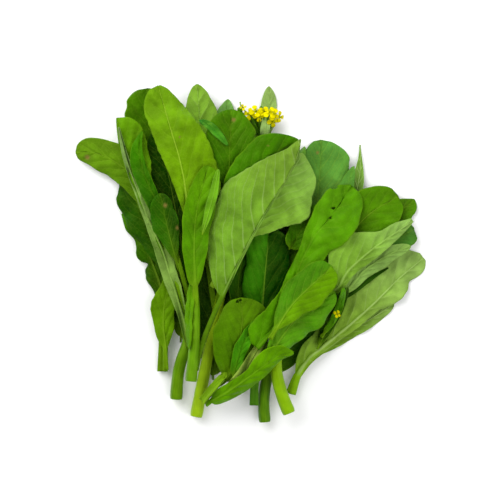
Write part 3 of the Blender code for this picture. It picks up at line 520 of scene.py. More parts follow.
def settle(bed, node, grid, half, along, rest, root_height=None, stiff=False):
    """Lays a lattice on the bed and returns it at its height. A leaf with a root height stays there at its
    root, and drops by a smooth step of its length from there."""
    grid = grid.copy()
    weight, free = np.ones(len(grid)), 0.0
    if root_height is not None:
        grid[..., 2] += root_height
        reach = np.clip(along / (DROP_OVER * along[-1]), 0, 1)
        weight, free = reach * reach * (3 - 2 * reach), FREE
    need = bed.need(node, grid, half, along, free)
    pull = spread(np.repeat(weight[:, None], grid.shape[1], axis=1), bed.samples)
    drop = np.percentile(need[pull > FIRM], rest)
    grid[..., 2] += (weight * drop)[:, None]
    lift = at_corners((need - pull * drop).max(axis=(2, 3)))
    if stiff:
        lift[:] = lift.max(axis=1, keepdims=True)
    lift = eased(lift, grid, half, STEM_SLOPE if stiff else LEAF_SLOPE)
    if root_height is not None:
        lift[0] = np.minimum(lift[0], ROOT_LIFT)
    grid[..., 2] += lift
    bed.add(node, grid, half)
    return grid


# %% Settling every piece of the table
COARSE_CELL, COARSE_GAP, COARSE_SAMPLES = 2.0, 0.9, 11  # millimetres, and tests along each side of a cell


def rooted(piece, line):
    """A leaf of a shoot with its root on the nearest point of the stem's middle line, and that height."""
    steps = np.linspace(0, 1, 12)[:, None]
    dense = np.vstack([a + (b - a) * steps for a, b in zip(line, line[1:])])
    near = dense[np.argmin(np.linalg.norm(dense[:, :2] - np.array(piece["rib"][0]), axis=1))]
    return {**piece, "rib": [tuple(near[:2]), *piece["rib"][1:]]}, near[2]


def clear_for_head(bed, piece):
    """The flower head takes its room on the bed as one pad of its size."""
    wide, deep, high = piece["size"]
    x, y = piece["at"]
    reach = 0.9 * piece["petal"]
    u, v = np.meshgrid(np.linspace(-1, 1, 9), np.linspace(-0.6, 1, 5), indexing="ij")
    pad = np.stack([x + u * (wide + reach), y + v * (deep + reach), np.zeros_like(u)], axis=-1)
    others, _ = bed.under(piece["node"])
    place = (bed.squares(spread(pad[..., 0], bed.samples)), bed.squares(spread(pad[..., 1], bed.samples)))
    base = others[place].max() + bed.gap + reach
    pad[..., 2] = base + high / 2
    bed.add(piece["node"], pad, np.full(u.shape, high / 2 + reach))
    return base


def settle_all():
    """Every piece with the heights of its lattice, in the order of the table."""
    bed, stems, settled = Bed(COARSE_CELL, COARSE_GAP, COARSE_SAMPLES), {}, []
    for piece in PIECES:
        if piece["kind"] == "stem":
            grid, half, share, length = stem_lattice(piece)
            grid = settle(bed, piece["node"], grid, half, share * length, 75, stiff=True)
            stems[piece["node"]] = grid[:, 1]
            settled.append((piece, grid, share))
        elif piece["kind"] == "leaf":
            root = None
            if piece["node"] in stems:
                piece, root = rooted(piece, stems[piece["node"]])
            flat, half, share, length = leaf_lattice(piece)
            grid = settle(bed, piece["node"], flat, half, share * length, piece["rest"], root)
            settled.append((piece, grid[..., 2] - flat[..., 2], share))
        else:
            settled.append((piece, clear_for_head(bed, piece), None))
    return settled


SETTLED = settle_all()
print("settled", len(SETTLED), "pieces")

# %% [markdown]
# ## From the lattice to a fine leaf
# The fine leaf is the same surface at many more rows and columns. Its heights are read from the lattice
# and smoothed, because a real blade bends in curves and not in facets. A few leaves are drawn here with a
# fuller or narrower half than their coarse solid, and a few with another width of rib. Their look says so.

# %% Colours
def shade(code):
    """Linear red, green and blue of a colour written as a screen code."""
    value = np.array([int(code[i : i + 2], 16) for i in (1, 3, 5)]) / 255
    return np.where(value <= 0.04045, value / 12.92, ((value + 0.055) / 1.055) ** 2.4)


EXPOSURE = 1.26  # the light makes things this much brighter than their own colour, and the table white


def own(code):
    """The colour that a surface needs to look like the given one in this light."""
    return shade(code) / EXPOSURE


def paint(code):
    """The same colour with the fourth number that a shader's socket wants."""
    return (*own(code), 1.0)


print("a leaf green:", own("#509200").round(3).tolist())

# %% What a look is
def look(colour, shows="face", veins=0.22, gloss=0.45, rib=0.5, line=0.2, ribs=7, buckle=1.2,
         back="#86b440", tip=None, rim="#6c9a12", stalk="#6f9c10", left=None, glossy=False, ragged=1.5,
         lift=0.0, thick=1.0, marks=(), holes=(), fine=None):
    """A leaf's look: its colour, the side that shows, how clear its veins are, its roughness, how wide and
    how clear the pale line of its rib is, how many side veins it has, how far it buckles in millimetres, the
    colours of its other side, tip, margin, stalk and left half, whether it is wet with gloss, how ragged its
    margin is, how much higher it lies than it needs to, how thick its side veins are, its spots and its
    holes as places and radii, and what the fine leaf has otherwise than its coarse solid."""
    # the margin's colour is partly painted light on the edge, and the left half's colour paints shade on one
    # half of some leaves and sheen on one half of front_right
    return {
        "colour": colour, "shows": shows, "veins": veins, "gloss": gloss, "rib": rib, "line": line,
        "ribs": ribs, "buckle": buckle, "back": back, "tip": tip or colour, "rim": rim, "stalk": stalk,
        "left": left or colour, "glossy": glossy, "ragged": ragged, "lift": lift, "thick": thick,
        "marks": marks, "holes": holes, "fine": fine or {},
    }


def pale(colour, **more):
    """The look of a leaf that lies with its dull underside up."""
    settings = {"veins": 0.6, "gloss": 0.6, "rib": 0.6, "line": 0.5, "back": "#3f8404", "rim": "#93bb52",
                "stalk": "#80aa1c", "thick": 1.2, **more}
    return look(colour, shows="back", **settings)


# %% The looks at the bottom and on the right
LOOKS = {
    # the leaves hidden at the bottom and the leaves under them are painted nearly black: painted shade, for
    # the shade deep in the bunch
    "hidden_left": look("#174a04"), "hidden_middle": look("#103c02"), "hidden_right": look("#174a04"),
    "under_left": look("#123f02"), "under_middle": look("#0e3a02"), "under_right": look("#265e02"),
    "under_round": look("#0e3a02"),
    "right_lowest": pale("#7aa62c", tip="#8fb552", veins=0.3, thick=1.0),
    "right_outer": pale("#8cb63a", tip="#9cc45e", ribs=9, buckle=3.4, veins=0.3, thick=1.0, ragged=1.4,
                        stalk="#84b80a", fine={
        "blade": 0.1,
        "left": side(29, fold=12, curl=-20, knots=(
            (0, 0), (0.06, 0.2), (0.13, 0.42), (0.18, 0.5), (0.28, 0.49), (0.38, 0.45), (0.45, 0.62),
            (0.52, 0.96), (0.6, 0.95), (0.7, 0.8), (0.8, 0.66), (0.89, 0.64), (0.95, 0.58), (1, 0.2))),
        "right": side(15, fold=-14, curl=10, knots=(
            (0, 0), (0.3, 0.2), (0.4, 0.34), (0.58, 0.5), (0.65, 0.85), (0.71, 1), (0.8, 0.88),
            (0.85, 0.55), (0.9, 0.7), (0.96, 0.64), (1, 0.2)))}),
    "back_sliver": pale("#7fae44", buckle=0.5),
    "back_top": look("#5f9a36", gloss=0.5, veins=0.3, tip="#569838", rim="#62a038", marks=((67, 101, 1.6),)),
    "back_inner": look("#2a6002"),
    "back_right_tooth": look("#3a7204", tip="#4a8206", ragged=2.5),
    "back_right_blunt": look("#4a882c", veins=0.15),
    "right_back": look("#447c00", tip="#508a04", veins=0.15, gloss=0.4, line=0.3),
    "right_band": pale("#90ba58", veins=0.15, buckle=0.8, line=0.05, thick=0.8),
    "right_pale": pale("#86b838", tip="#96c25c", buckle=2.0, line=0.25, veins=0.25, thick=1.0, fine={
        "left": side(35, fold=12, curl=-10, knots=(
            (0, 0.1), (0.1, 0.25), (0.24, 0.6), (0.33, 1), (0.42, 0.92), (0.52, 0.7), (0.7, 0.28),
            (0.84, 0.24), (1, 0.08)))}),
}
print("looks so far:", len(LOOKS))

# %% The looks on the left
LOOKS |= {
    # the deep greens of left_under, left_back, left_inner, left_dark, left_spoon and left_small are partly
    # the leaves' own dark green and partly painted shade, darkest on left_inner deep in the bunch
    "left_under": look("#1a4c00", veins=0.15, tip="#3f7c04", rim="#4a8208", ragged=1.8, fine={
        "left": side(9, fold=6, knots=(
            (0, 0), (0.2, 0.6), (0.36, 1), (0.42, 0.95), (0.46, 0.3), (0.5, 0.85), (0.6, 1), (0.75, 0.9),
            (0.88, 1), (1, 0.3)))}),
    "left_low": look("#5c8e02", rim="#74a00e", veins=0.15, buckle=1.6),
    # left_back is painted much darker on its right half, in its main colour, than on its left: painted shade
    "left_back": look("#1c5200", veins=0.2, gloss=0.4, buckle=1.5, line=0.1, ragged=2.4, left="#427800"),
    "left_inner": look("#0a3c00", veins=0.25, tip="#0f4a00", rim="#124a00", buckle=2.0, stalk="#1c5200"),
    "left_dark": look("#1a5000", veins=0.15, rim="#3f7406", ragged=1.6),
    "left_reaching": look("#548206", veins=0.25, tip="#5f8c10", gloss=0.5, marks=((-164, 96, 2.4),)),
    "left_folded": look("#568e04", veins=0.15, tip="#5f9606", line=0.1, fine={
        "left": side(5, 0.5, 0.6, 0.6, fold=10), "right": side(24, 0.86, 3.4, 0.4, fold=8)}),
    "folded_strip": pale("#88ae4c", tip="#7f9f58", veins=0.1, line=0.1, ribs=3, buckle=0.4, stalk="#74a00e"),
    "left_spoon": look("#1a5a00", veins=0.12, rim="#5c9808", tip="#367c00", line=0.08, fine={
        "right": side(5, 0.6, 0.9, 0.9, fold=24)}),
    "left_small": look("#0f4400", veins=0.15, rim="#347404", line=0.1, ragged=2.5, buckle=2.0, left="#1f5c00",
                       marks=((-84.5, 47, 1.8), (-72.4, 25, 1.8))),
}
print("looks so far:", len(LOOKS))

# %% The looks in the middle
LOOKS |= {
    # flowering_low, under the other leaves of its shoot, is painted nearly black: painted shade
    "flowering_low": look("#0c4404", veins=0.15),
    "flowering_tip": look("#7cb458", veins=0.15, gloss=0.6, line=0.1),
    "flowering_pale": pale("#74a824", veins=0.2, tip="#84b236", buckle=1.4, line=0.2, fine={"slim": 0.3}),
    "flowering_bract": pale("#a0c468", veins=0.1, buckle=0.4, rib=0.4, line=0.1),
    "behind_flowers": look("#1c5200", veins=0.1),
    "bract_front": pale("#a8cc72", veins=0.1, line=0.15, lift=11.0),
    # a shiny folded strip on the flowering shoot; its bluish green, bluer at its margin and near its rib, is
    # painted sheen on top of its real gloss
    "sheen_fold": look("#44921c", veins=0.05, gloss=0.3, line=0.0, rim="#2c8a2c", stalk="#2c8a2c",
                        glossy=True),
    "centre_green": look("#408404", veins=0.15, gloss=0.4, buckle=1.0),
    "flowering_broad": look("#377000", veins=0.2, gloss=0.36, tip="#427c02", buckle=1.8, line=0.15,
                            marks=((-17, 131.3, 2.0), (-44, 128, 1.4))),
    "flowering_dark": look("#3c7a00", veins=0.15, gloss=0.4, marks=((17, 106.4, 0.9),)),
    # middle_thin is painted nearly black: partly the leaf's own dark green and partly painted shade in the
    # gap where it shows
    "middle_thin": look("#0c4c00", veins=0.1, line=0.05),
    # middle_dark is painted nearly black on its right half and dark green on its left: painted shade, deepest
    # on the right
    "middle_dark": look("#033f00", veins=0.12, gloss=0.36, ribs=5, line=0.25, rim="#1c5c02", left="#347e06",
                        stalk="#4a8018", fine={
        "left": side(21, fold=26, curl=-50, knots=(
            (0, 0), (0.12, 0.7), (0.3, 0.9), (0.6, 1), (0.85, 1), (0.95, 0.85), (1, 0.35))),
        "right": side(22, fold=22, curl=-36, knots=(
            (0, 0), (0.12, 0.7), (0.3, 0.9), (0.6, 1), (0.8, 1), (0.94, 0.75), (1, 0.35)))}),
    # the near-black strip in the hollow between front_glossy and right_outer stands only for the shade there:
    # painted shade
    "hollow_shade_strip": look("#0f4402"), "hollow_shoot": look("#489404", line=0.1),
    "middle_pale": pale("#8cc03a", tip="#94c650", veins=0.3, buckle=1.4, rib=0.3, line=0.3),
    "centre_pale": pale("#78aa2c", tip="#7ca630", veins=0.5, ribs=9, buckle=3.0, rib=0.25, line=0.2,
                        stalk="#557f06", fine={
        "slim": 0.1, "right": side(0.8, 0.5, 1.0, 0.8, fold=-40),
        "rib": [(-55, -116), (-49, -92), (-31, -48), (-2, 11), (18, 46), (34, 71), (45, 93), (49, 112)]}),
}
print("looks so far:", len(LOOKS))

# %% The looks in front
LOOKS |= {
    "front_broad": look("#6c9e04", veins=0.3, tip="#6a9c0c", rib=0.6, line=0.75, ribs=6, buckle=1.8,
                        gloss=0.5, marks=((-70, 114, 1.0),), fine={
        "right": side(35, fold=-8, curl=-12, knots=(
            (0, 0), (0.1, 0.5), (0.23, 0.9), (0.35, 0.98), (0.47, 0.93), (0.6, 0.83), (0.71, 0.72),
            (0.81, 0.53), (0.9, 0.34), (0.96, 0.22), (1, 0.05)))}),
    "front_spoon": look("#4d8c01", veins=0.15, tip="#5c9a02", gloss=0.42, line=0.15, fine={
        "right": side(17, 0.8, 0.7, 0.45, fold=8)}),
    "spoon_strip": pale("#6fae1c", veins=0.05, line=0.1, ribs=12, buckle=0.2, rim="#8cb648", lift=3.0,
                        ragged=0.6),
    # a dark strip that stands only for the shade in the slot between right_band and right_outer: painted
    # shade
    "slot_shade_strip": look("#1c4a04", veins=0.05, line=0.0, buckle=0.3, rim="#1c4a04", stalk="#1c4a04"),
    "stem_wing": look("#5a9406", veins=0.05, line=0.0, ragged=5.0, rim="#6ca00c", stalk="#5a9406"),
    "back_edge": look("#5a9a38", veins=0.1, line=0.1),
    "back_corner": look("#5c9430", veins=0.1, line=0.1),
    # under_top is painted nearly black: painted shade deep in the bunch
    "under_top": look("#1a4a02"),
    "round_stalk": look("#7cac14", line=0.0, buckle=0, stalk="#7cac14", rim="#7cac14"),
    "green_strip": look("#3c8c06", veins=0.1, line=0.05, buckle=0.3),
    "front_round": look("#4a7c00", veins=0.1, rim="#6c9410", tip="#548404", buckle=0.8, stalk="#7aa812",
                        holes=((-13.5, -48, 1.7), (-10.5, -46.5, 1.6)), fine={"stalk": 3.4}),
    "olive_stalk": pale("#a8c850", veins=0.0, line=0.0, ribs=12, buckle=0.1, rim="#94b830", stalk="#9cc038",
                        ragged=0.4, lift=1.5),
    "front_long": look("#509200", veins=0.15, gloss=0.38, buckle=2.0, tip="#569806", stalk="#509200",
                       line=0.15, holes=((82, 44.5, 1.6), (79, 34.5, 1.7), (83, 67, 3.4)),
                       fine={"start": 0.155}),
    "front_glossy": look("#509a08", veins=0.15, gloss=0.34, buckle=2.6, rim="#62980e", glossy=True),
    # front_right's right half, in its main colour, is painted lighter and yellower than its green left half:
    # painted sheen
    "front_right": look("#629a00", veins=0.2, gloss=0.36, left="#44840a", buckle=1.8, line=0.3, fine={
        "start": 0.08, "rib": [(14, -92), (37, -55), (55, -36), (67, -25), (80, -13)]}),
    "front_wrap": look("#5e9c00", veins=0.1, gloss=0.38, rim="#7cb40a", buckle=1.0, stalk="#5e9c00", fine={
        "rib": [(-45, -150), (-21, -135), (-1, -121), (15, -109), (28, -101), (42, -99)],
        "left": side(11.5, fold=16, knots=(
            (0, 0), (0.12, 0.5), (0.3, 0.5), (0.48, 0.5), (0.6, 0.9), (0.72, 1), (0.88, 0.8), (1, 0.15))),
        "right": side(10, 0.45, 0.4, 0.8, fold=-16, curl=-20)}),
}
print("looks:", len(LOOKS), "of which pale:", sum(each["shows"] == "back" for each in LOOKS.values()))

# %% Rows and columns of a fine leaf
ROW_STEP, STALK_ROW, COLUMN_STEP = 1.6, 3.0, 1.6  # millimetres between rows and columns
RIB_COLUMNS = np.array([0.3, 0.6, 0.85])  # columns between the rib's middle and its edge
FINE_WING = 0.3  # a real stalk is round, with hardly any wing
SKIN = 0.45  # thickness of the fine blade
HEIGHT_PASSES = (14, 10)  # how often heights read from the lattice are smoothed, along and across


def fine_rows(piece):
    """Shares of the rib at which a fine leaf has rows."""
    _, length = smooth_curve(piece["rib"], [0, 1])
    bare = piece["blade"] * length
    stalk = np.linspace(0, piece["blade"], max(2, round(bare / STALK_ROW) + 1))
    blade = np.linspace(piece["blade"], 1, round((length - bare) / ROW_STEP) + 1)
    rows = np.concatenate([stalk[:-1], blade])
    return rows[rows >= piece.get("start", 0)]


def fine_columns(half):
    """Shares of a half's width at which a fine leaf has columns: close to the rib, then even."""
    count = max(9, round(half["width"] / COLUMN_STEP))
    even = np.linspace(0, 1, count + 1)[1:]
    return np.concatenate([[0, 0.3 * even[0]], even])


def smoothed(values, passes, axis):
    """Each value mixed with its neighbours along one axis, a number of times. Ends keep their slope."""
    values = np.moveaxis(values, axis, 0).copy()
    for _ in range(passes):
        ends = np.concatenate([[2 * values[0] - values[1]], values, [2 * values[-1] - values[-2]]])
        values = (ends[:-2] + 2 * ends[1:-1] + ends[2:]) / 4
    return np.moveaxis(values, 0, axis)


def lattice_place(half, way):
    """Where the columns of the coarse lattice stand, from the rib's edge outwards, on a scale on which the
    rib's middle is 0, its edge 0.05 and the margin 1.05."""
    return way * (0.05 + np.concatenate([[0], columns_of(half)]))


def fine_heights(piece, heights, share, rows, scale):
    """The lattice's heights at the rows and columns of a fine leaf, mixed in straight lines and smoothed."""
    left, right = lattice_place(piece["left"], -1), lattice_place(piece["right"], 1)
    old = np.concatenate([left[::-1], [0], right])
    tall = np.stack([np.interp(rows, share, column) for column in heights.T], axis=1)
    place = np.clip(np.searchsorted(old, scale, side="right") - 1, 0, len(old) - 2)
    rest = (scale - old[place]) / (old[place + 1] - old[place])
    fine = tall[:, place] * (1 - rest) + tall[:, place + 1] * rest
    for axis, passes in enumerate(HEIGHT_PASSES):
        fine = smoothed(fine, passes, axis)
    return fine


# %% [markdown]
# ## Veins and buckles
# A choy sum leaf has one thick rib. Side veins leave it at about thirty degrees and bow towards the tip.
# Their place is one number, c: the way along the rib, less the way out times a slope, over the spacing.
# Wherever c is whole there is a vein. The same number drives the relief in the mesh and the pale lines in
# the material. Between its veins a blade bulges, and as a whole it buckles a little, so that light slides
# over it unevenly.

# %% The vein number and noise
VEIN_SLOPE, VEIN_BOW = 1.35, 0.6  # how a side vein leans towards the tip, and how it bows
VEIN_WIDTH, VEIN_SPACING = 0.055, 14  # half a vein's width at the rib as a share of a usual spacing, in mm


def wobble(x, y, seed, scale):
    """Smooth noise about 0: a few sines in ways and phases drawn from a seed, in lengths about the scale."""
    draw = np.random.default_rng(seed)
    total = np.zeros(np.broadcast(x, y).shape)
    for _ in range(6):
        turn, phase = draw.uniform(0, 2 * np.pi, 2)
        size = scale * draw.uniform(0.6, 1.6)
        total += np.sin((x * math.cos(turn) + y * math.sin(turn)) * 2 * np.pi / size + phase)
    return total / 3


def vein_number(along, out, width, spacing, way, seed):
    """c, and half a vein's width in the same units, which thins towards the margin."""
    bow = VEIN_BOW * out**2 / np.maximum(width, 4.0)
    number = (along - VEIN_SLOPE * out - bow) / spacing + 0.3 * (way > 0)
    number = number + 0.12 * wobble(along, way * out, seed, 40.0)
    thin = (VEIN_WIDTH * (1 - 0.75 * out / np.maximum(width, 1.0)) + 0.01) * VEIN_SPACING / spacing
    return number, thin


def ridge(number, thin):
    """1 on a vein and 0 between two, as a bell curve."""
    off = np.abs(number - np.round(number))
    return np.exp(-((off / (1.6 * thin)) ** 2))


# %% The two halves of a fine leaf
VEINLESS = 4.6  # a half narrower than this has no side veins


def uneven(along, way, seed):
    """How the margin of a half strays from its even outline, as a share of its width: long and short
    waves."""
    return 0.035 * wobble(along, way * 50.0, seed + 7, 32.0) + 0.012 * wobble(along, way * 9.0, seed, 9.0)


def fine_half(piece, half, way, rows, seed, looks, blade_length, spacing):
    """One half at its fine columns, as what is stored for each point: place, way out, vein number, vein
    width, share of the way to the margin, and place on the lattice's scale."""
    columns = fine_columns(half)
    points, width = half_blade(piece, half, way, rows, columns, FINE_WING)
    line, left, _, radius, t, _ = rib_of(piece, rows)
    rim = line + way * left * 0.8 * radius[:, None]
    stray = looks["ragged"] * uneven(t * blade_length, way, seed)
    stray = 1 + stray * np.clip(np.minimum(t * 12, (1 - t) * 10), 0, 1)
    if "start" in piece:
        stray = stray * np.sqrt(np.clip((rows - piece["start"]) / 0.05 + 0.1, 0, 1))
    points = rim[:, None] + (points - rim[:, None]) * stray[:, None, None]
    out = columns * width[:, None]
    number, thin = vein_number((t * blade_length)[:, None], out, width[:, None], spacing, way, seed)
    if half["width"] < VEINLESS:
        number = np.full_like(number, 0.5)
    across = way * (0.8 * radius[:, None] + out)
    margin = np.tile(columns, (len(rows), 1))
    return [points, across, number, thin * looks["thick"], margin, margin + 0.05]


# %% A whole fine leaf
LONG_BUCKLE, SHORT_BUCKLE = 42.0, 15.0  # lengths of a blade's buckles
SHORT_SHARE = 0.2  # height of the short buckles as a share of the long ones


def fine_leaf(piece, coarse, seed, looks):
    """The middle surface of a fine leaf with everything that its skin needs, as arrays of rows by
    columns."""
    rows = fine_rows(piece)
    line, left, _, radius, t, length = rib_of(piece, rows)
    slim = 1 - (1 - piece.get("slim", 1)) * np.clip(t / 0.15, 0, 1)
    blade_length = (1 - piece["blade"]) * length
    spacing = blade_length / looks["ribs"]
    rim = 0.8 * radius[:, None]
    steps = np.concatenate([RIB_COLUMNS[::-1], [0], -RIB_COLUMNS])
    middle = line[:, None] + left[:, None] * (rim * steps)[..., None]
    flat = np.zeros((len(rows), len(steps)))
    centre = [middle, rim * steps, flat + 0.5, flat + 0.05, flat, flat + 0.05 * np.abs(steps)]
    halves = [
        fine_half(piece, piece[name], way, rows, seed, looks, blade_length, spacing)
        for name, way in (("left", 1), ("right", -1))
    ]
    grid, across, number, thin, margin, scale = (
        np.concatenate([a[:, ::-1], b, c], axis=1) for a, b, c in zip(halves[0], centre, halves[1])
    )
    scale = scale[0] * np.where(across[len(rows) // 2] > 0, -1, 1)
    if coarse[1] is not None:
        grid[..., 2] += fine_heights(*coarse, rows, scale)
    along = rows * length
    free = np.clip(np.abs(across) / 12, 0, 1) * np.clip(t / 0.1, 0, 1)[:, None]
    grid[..., 2] += looks["buckle"] * free * wobble(along[:, None], across, seed + 3, LONG_BUCKLE)
    short = wobble(along[:, None], across, seed + 5, SHORT_BUCKLE)
    grid[..., 2] += SHORT_SHARE * looks["buckle"] * free * short
    return {
        "grid": grid, "across": across, "number": number, "thin": thin, "margin": margin, "t": t,
        "radius": radius * slim, "along": along, "spacing": spacing,
    }


def normals_of(grid):
    """Unit normals from the steps along and across the grid, pointing up on a flat leaf."""
    normal = np.cross(np.gradient(grid, axis=1), np.gradient(grid, axis=0))
    return normal / np.maximum(np.linalg.norm(normal, axis=2, keepdims=True), 1e-9)


# %% The two skins of a leaf
BULGE, RAISED = 0.9, 0.55  # how far the blade bulges between veins and a vein stands out below


def skins_of(fine, looks):
    """The upper and lower skin of a leaf: the middle surface with the relief of its veins, and its
    thickness. The face of the leaf bulges between the veins, and its back has the round rib and raised
    veins."""
    facing = 1 if looks["shows"] == "face" else -1
    t, radius = fine["t"][:, None], fine["radius"][:, None]
    here = ridge(fine["number"], fine["thin"])
    fade = np.clip(np.abs(fine["across"]) / np.maximum(radius, 0.1) - 0.7, 0, 1) * np.clip(t / 0.08, 0, 1)
    fade = fade * np.clip(1.6 * (1 - fine["margin"]), 0, 1)
    swell = BULGE * fine["spacing"] / VEIN_SPACING * (0.5 - 0.5 * np.cos(2 * np.pi * fine["number"])) * fade
    middle = fine["grid"] + facing * normals_of(fine["grid"]) * (swell - 0.3 * here * fade)[..., None]
    round_rib = np.sqrt(np.clip(1 - (fine["across"] / (1.02 * radius)) ** 2, 0, 1))
    flat_rib = round_rib * (0.55 - 0.3 * np.exp(-((fine["across"] / (0.45 * radius)) ** 2)))
    edge = SKIN / 2 * np.clip(1.3 - fine["margin"] ** 6, 0.3, 1)
    back = edge + np.maximum(radius - SKIN / 2, 0) * round_rib + RAISED * here * fade
    face = edge + np.maximum(radius - SKIN / 2, 0) * flat_rib
    above, below = (face, back) if facing > 0 else (back, face)
    normal = normals_of(middle)
    return middle + normal * above[..., None], middle - normal * below[..., None], above


# %% Laying a fine leaf on what is below it
CLEARANCE, FINE_CELL = 0.35, 1.0
ROUNDS, ENOUGH = 10, 0.15  # how often a leaf is lifted, and the need at which that may stop
LIFT_PASSES = (10, 8)  # how often a lift is smoothed, along and across
LIFT_EXTRA = 1.4  # smoothing takes from a lift's peak, and this gives it back


def lowered(bed, piece, fine, half):
    """Lets a leaf that has no coarse solid drop until it rests on the pieces below."""
    need = bed.need(piece["node"], fine["grid"], half, fine["along"], 0)
    fine["grid"][..., 2] += np.percentile(need, piece["rest"])
    fine["grid"][..., 2] = np.maximum(fine["grid"][..., 2], SKIN)


def cleared(bed, piece, fine, half, attached):
    """Lifts a fine leaf softly where it would touch the pieces below, a few times over."""
    free = FREE if attached else 0.0
    for _ in range(ROUNDS):
        need = at_corners(bed.need(piece["node"], fine["grid"], half, fine["along"], free).max(axis=(2, 3)))
        need = np.maximum(need, 0)
        if attached:
            need *= np.clip(fine["along"] / FREE, 0, 1)[:, None]
        if need.max() < ENOUGH:
            break
        lift = smoothed(smoothed(need, LIFT_PASSES[0], 0), LIFT_PASSES[1], 1)
        fine["grid"][..., 2] += lift * LIFT_EXTRA
    return float(need.max())


# %% [markdown]
# ## A leaf as a mesh
# A leaf is two sheets, one for its face and one for its back, joined by a thin wall wherever the blade
# ends: at its margin and round the holes that caterpillars ate. Each point also carries what the skin's
# material needs: its colour, painted shade and light included, where the veins are, and how far it is
# from the rib.

# %% Two sheets with walls and holes
def pierced(grid, holes):
    """Which cells of a grid stay, with its points moved on to the rims of round holes."""
    keep = np.ones((grid.shape[0] - 1, grid.shape[1] - 1), bool)
    centre = (grid[:-1, :-1] + grid[1:, 1:])[..., :2] / 2
    for x, y, radius in holes:
        keep &= np.linalg.norm(centre - (x, y), axis=2) > radius
        off = grid[..., :2] - (x, y)
        away = np.linalg.norm(off, axis=2, keepdims=True)
        near = np.abs(away - radius) < 0.6 * FINE_CELL
        grid[..., :2] += np.where(near, off / np.maximum(away, 1e-6) * (radius - away), 0)
    return keep


def two_sheets(keep):
    """Faces of an upper and a lower sheet for the kept cells, with a wall along every edge where a kept cell
    has no kept neighbour, and for each face 0 on the upper sheet and its walls, 1 on the lower one."""
    n, m = keep.shape[0] + 1, keep.shape[1] + 1
    ids = np.arange(n * m).reshape(n, m)
    corners = np.stack([ids[:-1, :-1], ids[:-1, 1:], ids[1:, 1:], ids[1:, :-1]], axis=-1)
    upper = corners[keep]
    padded = np.pad(keep, 1)
    beside = (padded[:-2, 1:-1], padded[1:-1, 2:], padded[2:, 1:-1], padded[1:-1, :-2])
    walls = []
    for k, other in enumerate(beside):
        a, b = corners[..., k][keep & ~other], corners[..., (k + 1) % 4][keep & ~other]
        walls.append(np.stack([b, a, a + n * m, b + n * m], axis=-1))
    walls = np.concatenate(walls)
    faces = np.concatenate([upper, walls, upper[:, ::-1] + n * m])
    return faces, np.repeat([0, 0, 1], [len(upper), len(walls), len(upper)])


# %% A mesh from arrays
def new_mesh(name, points, faces, attributes, uv, side_of=None):
    """A smooth mesh from arrays, in the table's millimetres. Each attribute is one vector or colour for each
    point, and points that no face uses are left out."""
    points = points.reshape(-1, 3).copy()
    points[:, :2] -= MIDDLE
    flat = np.concatenate([np.asarray(face).reshape(-1) for face in faces])
    used, where = np.unique(flat, return_inverse=True)
    sizes = np.array([len(face) for face in faces])
    mesh = bpy.data.meshes.new(name)
    mesh.vertices.add(len(used))
    mesh.vertices.foreach_set("co", (points[used] * MM).reshape(-1).astype(np.float32))
    mesh.loops.add(len(flat))
    mesh.loops.foreach_set("vertex_index", where.astype(np.int32))
    mesh.polygons.add(len(sizes))
    mesh.polygons.foreach_set("loop_start", np.concatenate([[0], np.cumsum(sizes)[:-1]]).astype(np.int32))
    if side_of is not None:
        mesh.polygons.foreach_set("material_index", side_of.astype(np.int32))
    mesh.update(calc_edges=True)
    mesh.validate()
    mesh.shade_smooth()
    for key, values in attributes.items():
        values = values.reshape(len(points), -1)[used]
        kind, field = ("FLOAT_COLOR", "color") if values.shape[1] == 4 else ("FLOAT_VECTOR", "vector")
        layer = mesh.attributes.new(key, kind, "POINT")
        layer.data.foreach_set(field, values.reshape(-1).astype(np.float32))
    if uv is not None:
        pairs = uv.reshape(-1, 2)[used][where]
        mesh.uv_layers.new(name="UVMap").data.foreach_set("uv", pairs.reshape(-1).astype(np.float32))
    return mesh


# %% The colour of each point of a leaf
PATCHES = ((0.13, 34.0), (0.05, 11.0))  # strength and length of a blade's uneven patches


def tinted(fine, main, left, tip, rim, stalk, seed):
    """A blade's colour at each point, with painted shade and light in it: its tip's colour towards the tip,
    its left half's colour on the left of the rib, its stalk's colour at the base and near the rib, the rim's
    colour in a narrow margin, with soft uneven patches. The left half's colour paints shade on one half of
    some leaves and sheen on one half of front_right, and the mostly paler rim is partly the margin's own
    colour and partly painted light on the edge."""
    along = np.broadcast_to(fine["along"][:, None], fine["across"].shape)
    t = fine["t"][:, None, None]
    patches = 1 + sum(part * wobble(along, fine["across"], seed, scale) for part, scale in PATCHES)
    rgb = main + (tip - main) * np.clip((t - 0.45) / 0.45, 0, 1)
    # a left half in another colour: painted shade on one half of some leaves, painted sheen on front_right
    rgb = rgb + (left - main) * np.clip(0.5 + fine["across"] / 4, 0, 1)[..., None]
    rgb = rgb * patches[..., None]
    # a mostly paler margin: partly the margin's own colour and partly painted light where the edge catches it
    margin = np.clip((fine["margin"] - 0.93) / 0.07, 0, 1)[..., None] * 0.6
    rgb = rgb * (1 - margin) + rim * margin
    near = np.exp(-np.abs(fine["across"]) / (1.6 * fine["radius"][:, None] + 1.0))[..., None]
    base = np.clip(0.2 * near + 0.8 * np.exp(-t / 0.07), 0, 0.9)
    rgb = rgb * (1 - base) + stalk * base
    return np.concatenate([np.clip(rgb, 0, 1), np.ones(rgb.shape[:2] + (1,))], axis=2)


def spots(fine, marks):
    """1 in the middle of a spot and 0 outside it."""
    total = np.zeros(fine["across"].shape)
    for x, y, radius in marks:
        away = np.linalg.norm(fine["grid"][..., :2] - (x, y), axis=2)
        total = np.maximum(total, np.clip(1.4 - away / radius, 0, 1))
    return total


# %% [markdown]
# ## The skin of a leaf
# Its face is waxy and glossy with fine sunken veins, its back is duller with raised ones. Both read the vein
# number from the mesh, so a vein's line in the colour sits on its ridge in the shape. The net between the
# side veins is a Voronoi pattern on the leaf's own map, which is in millimetres.

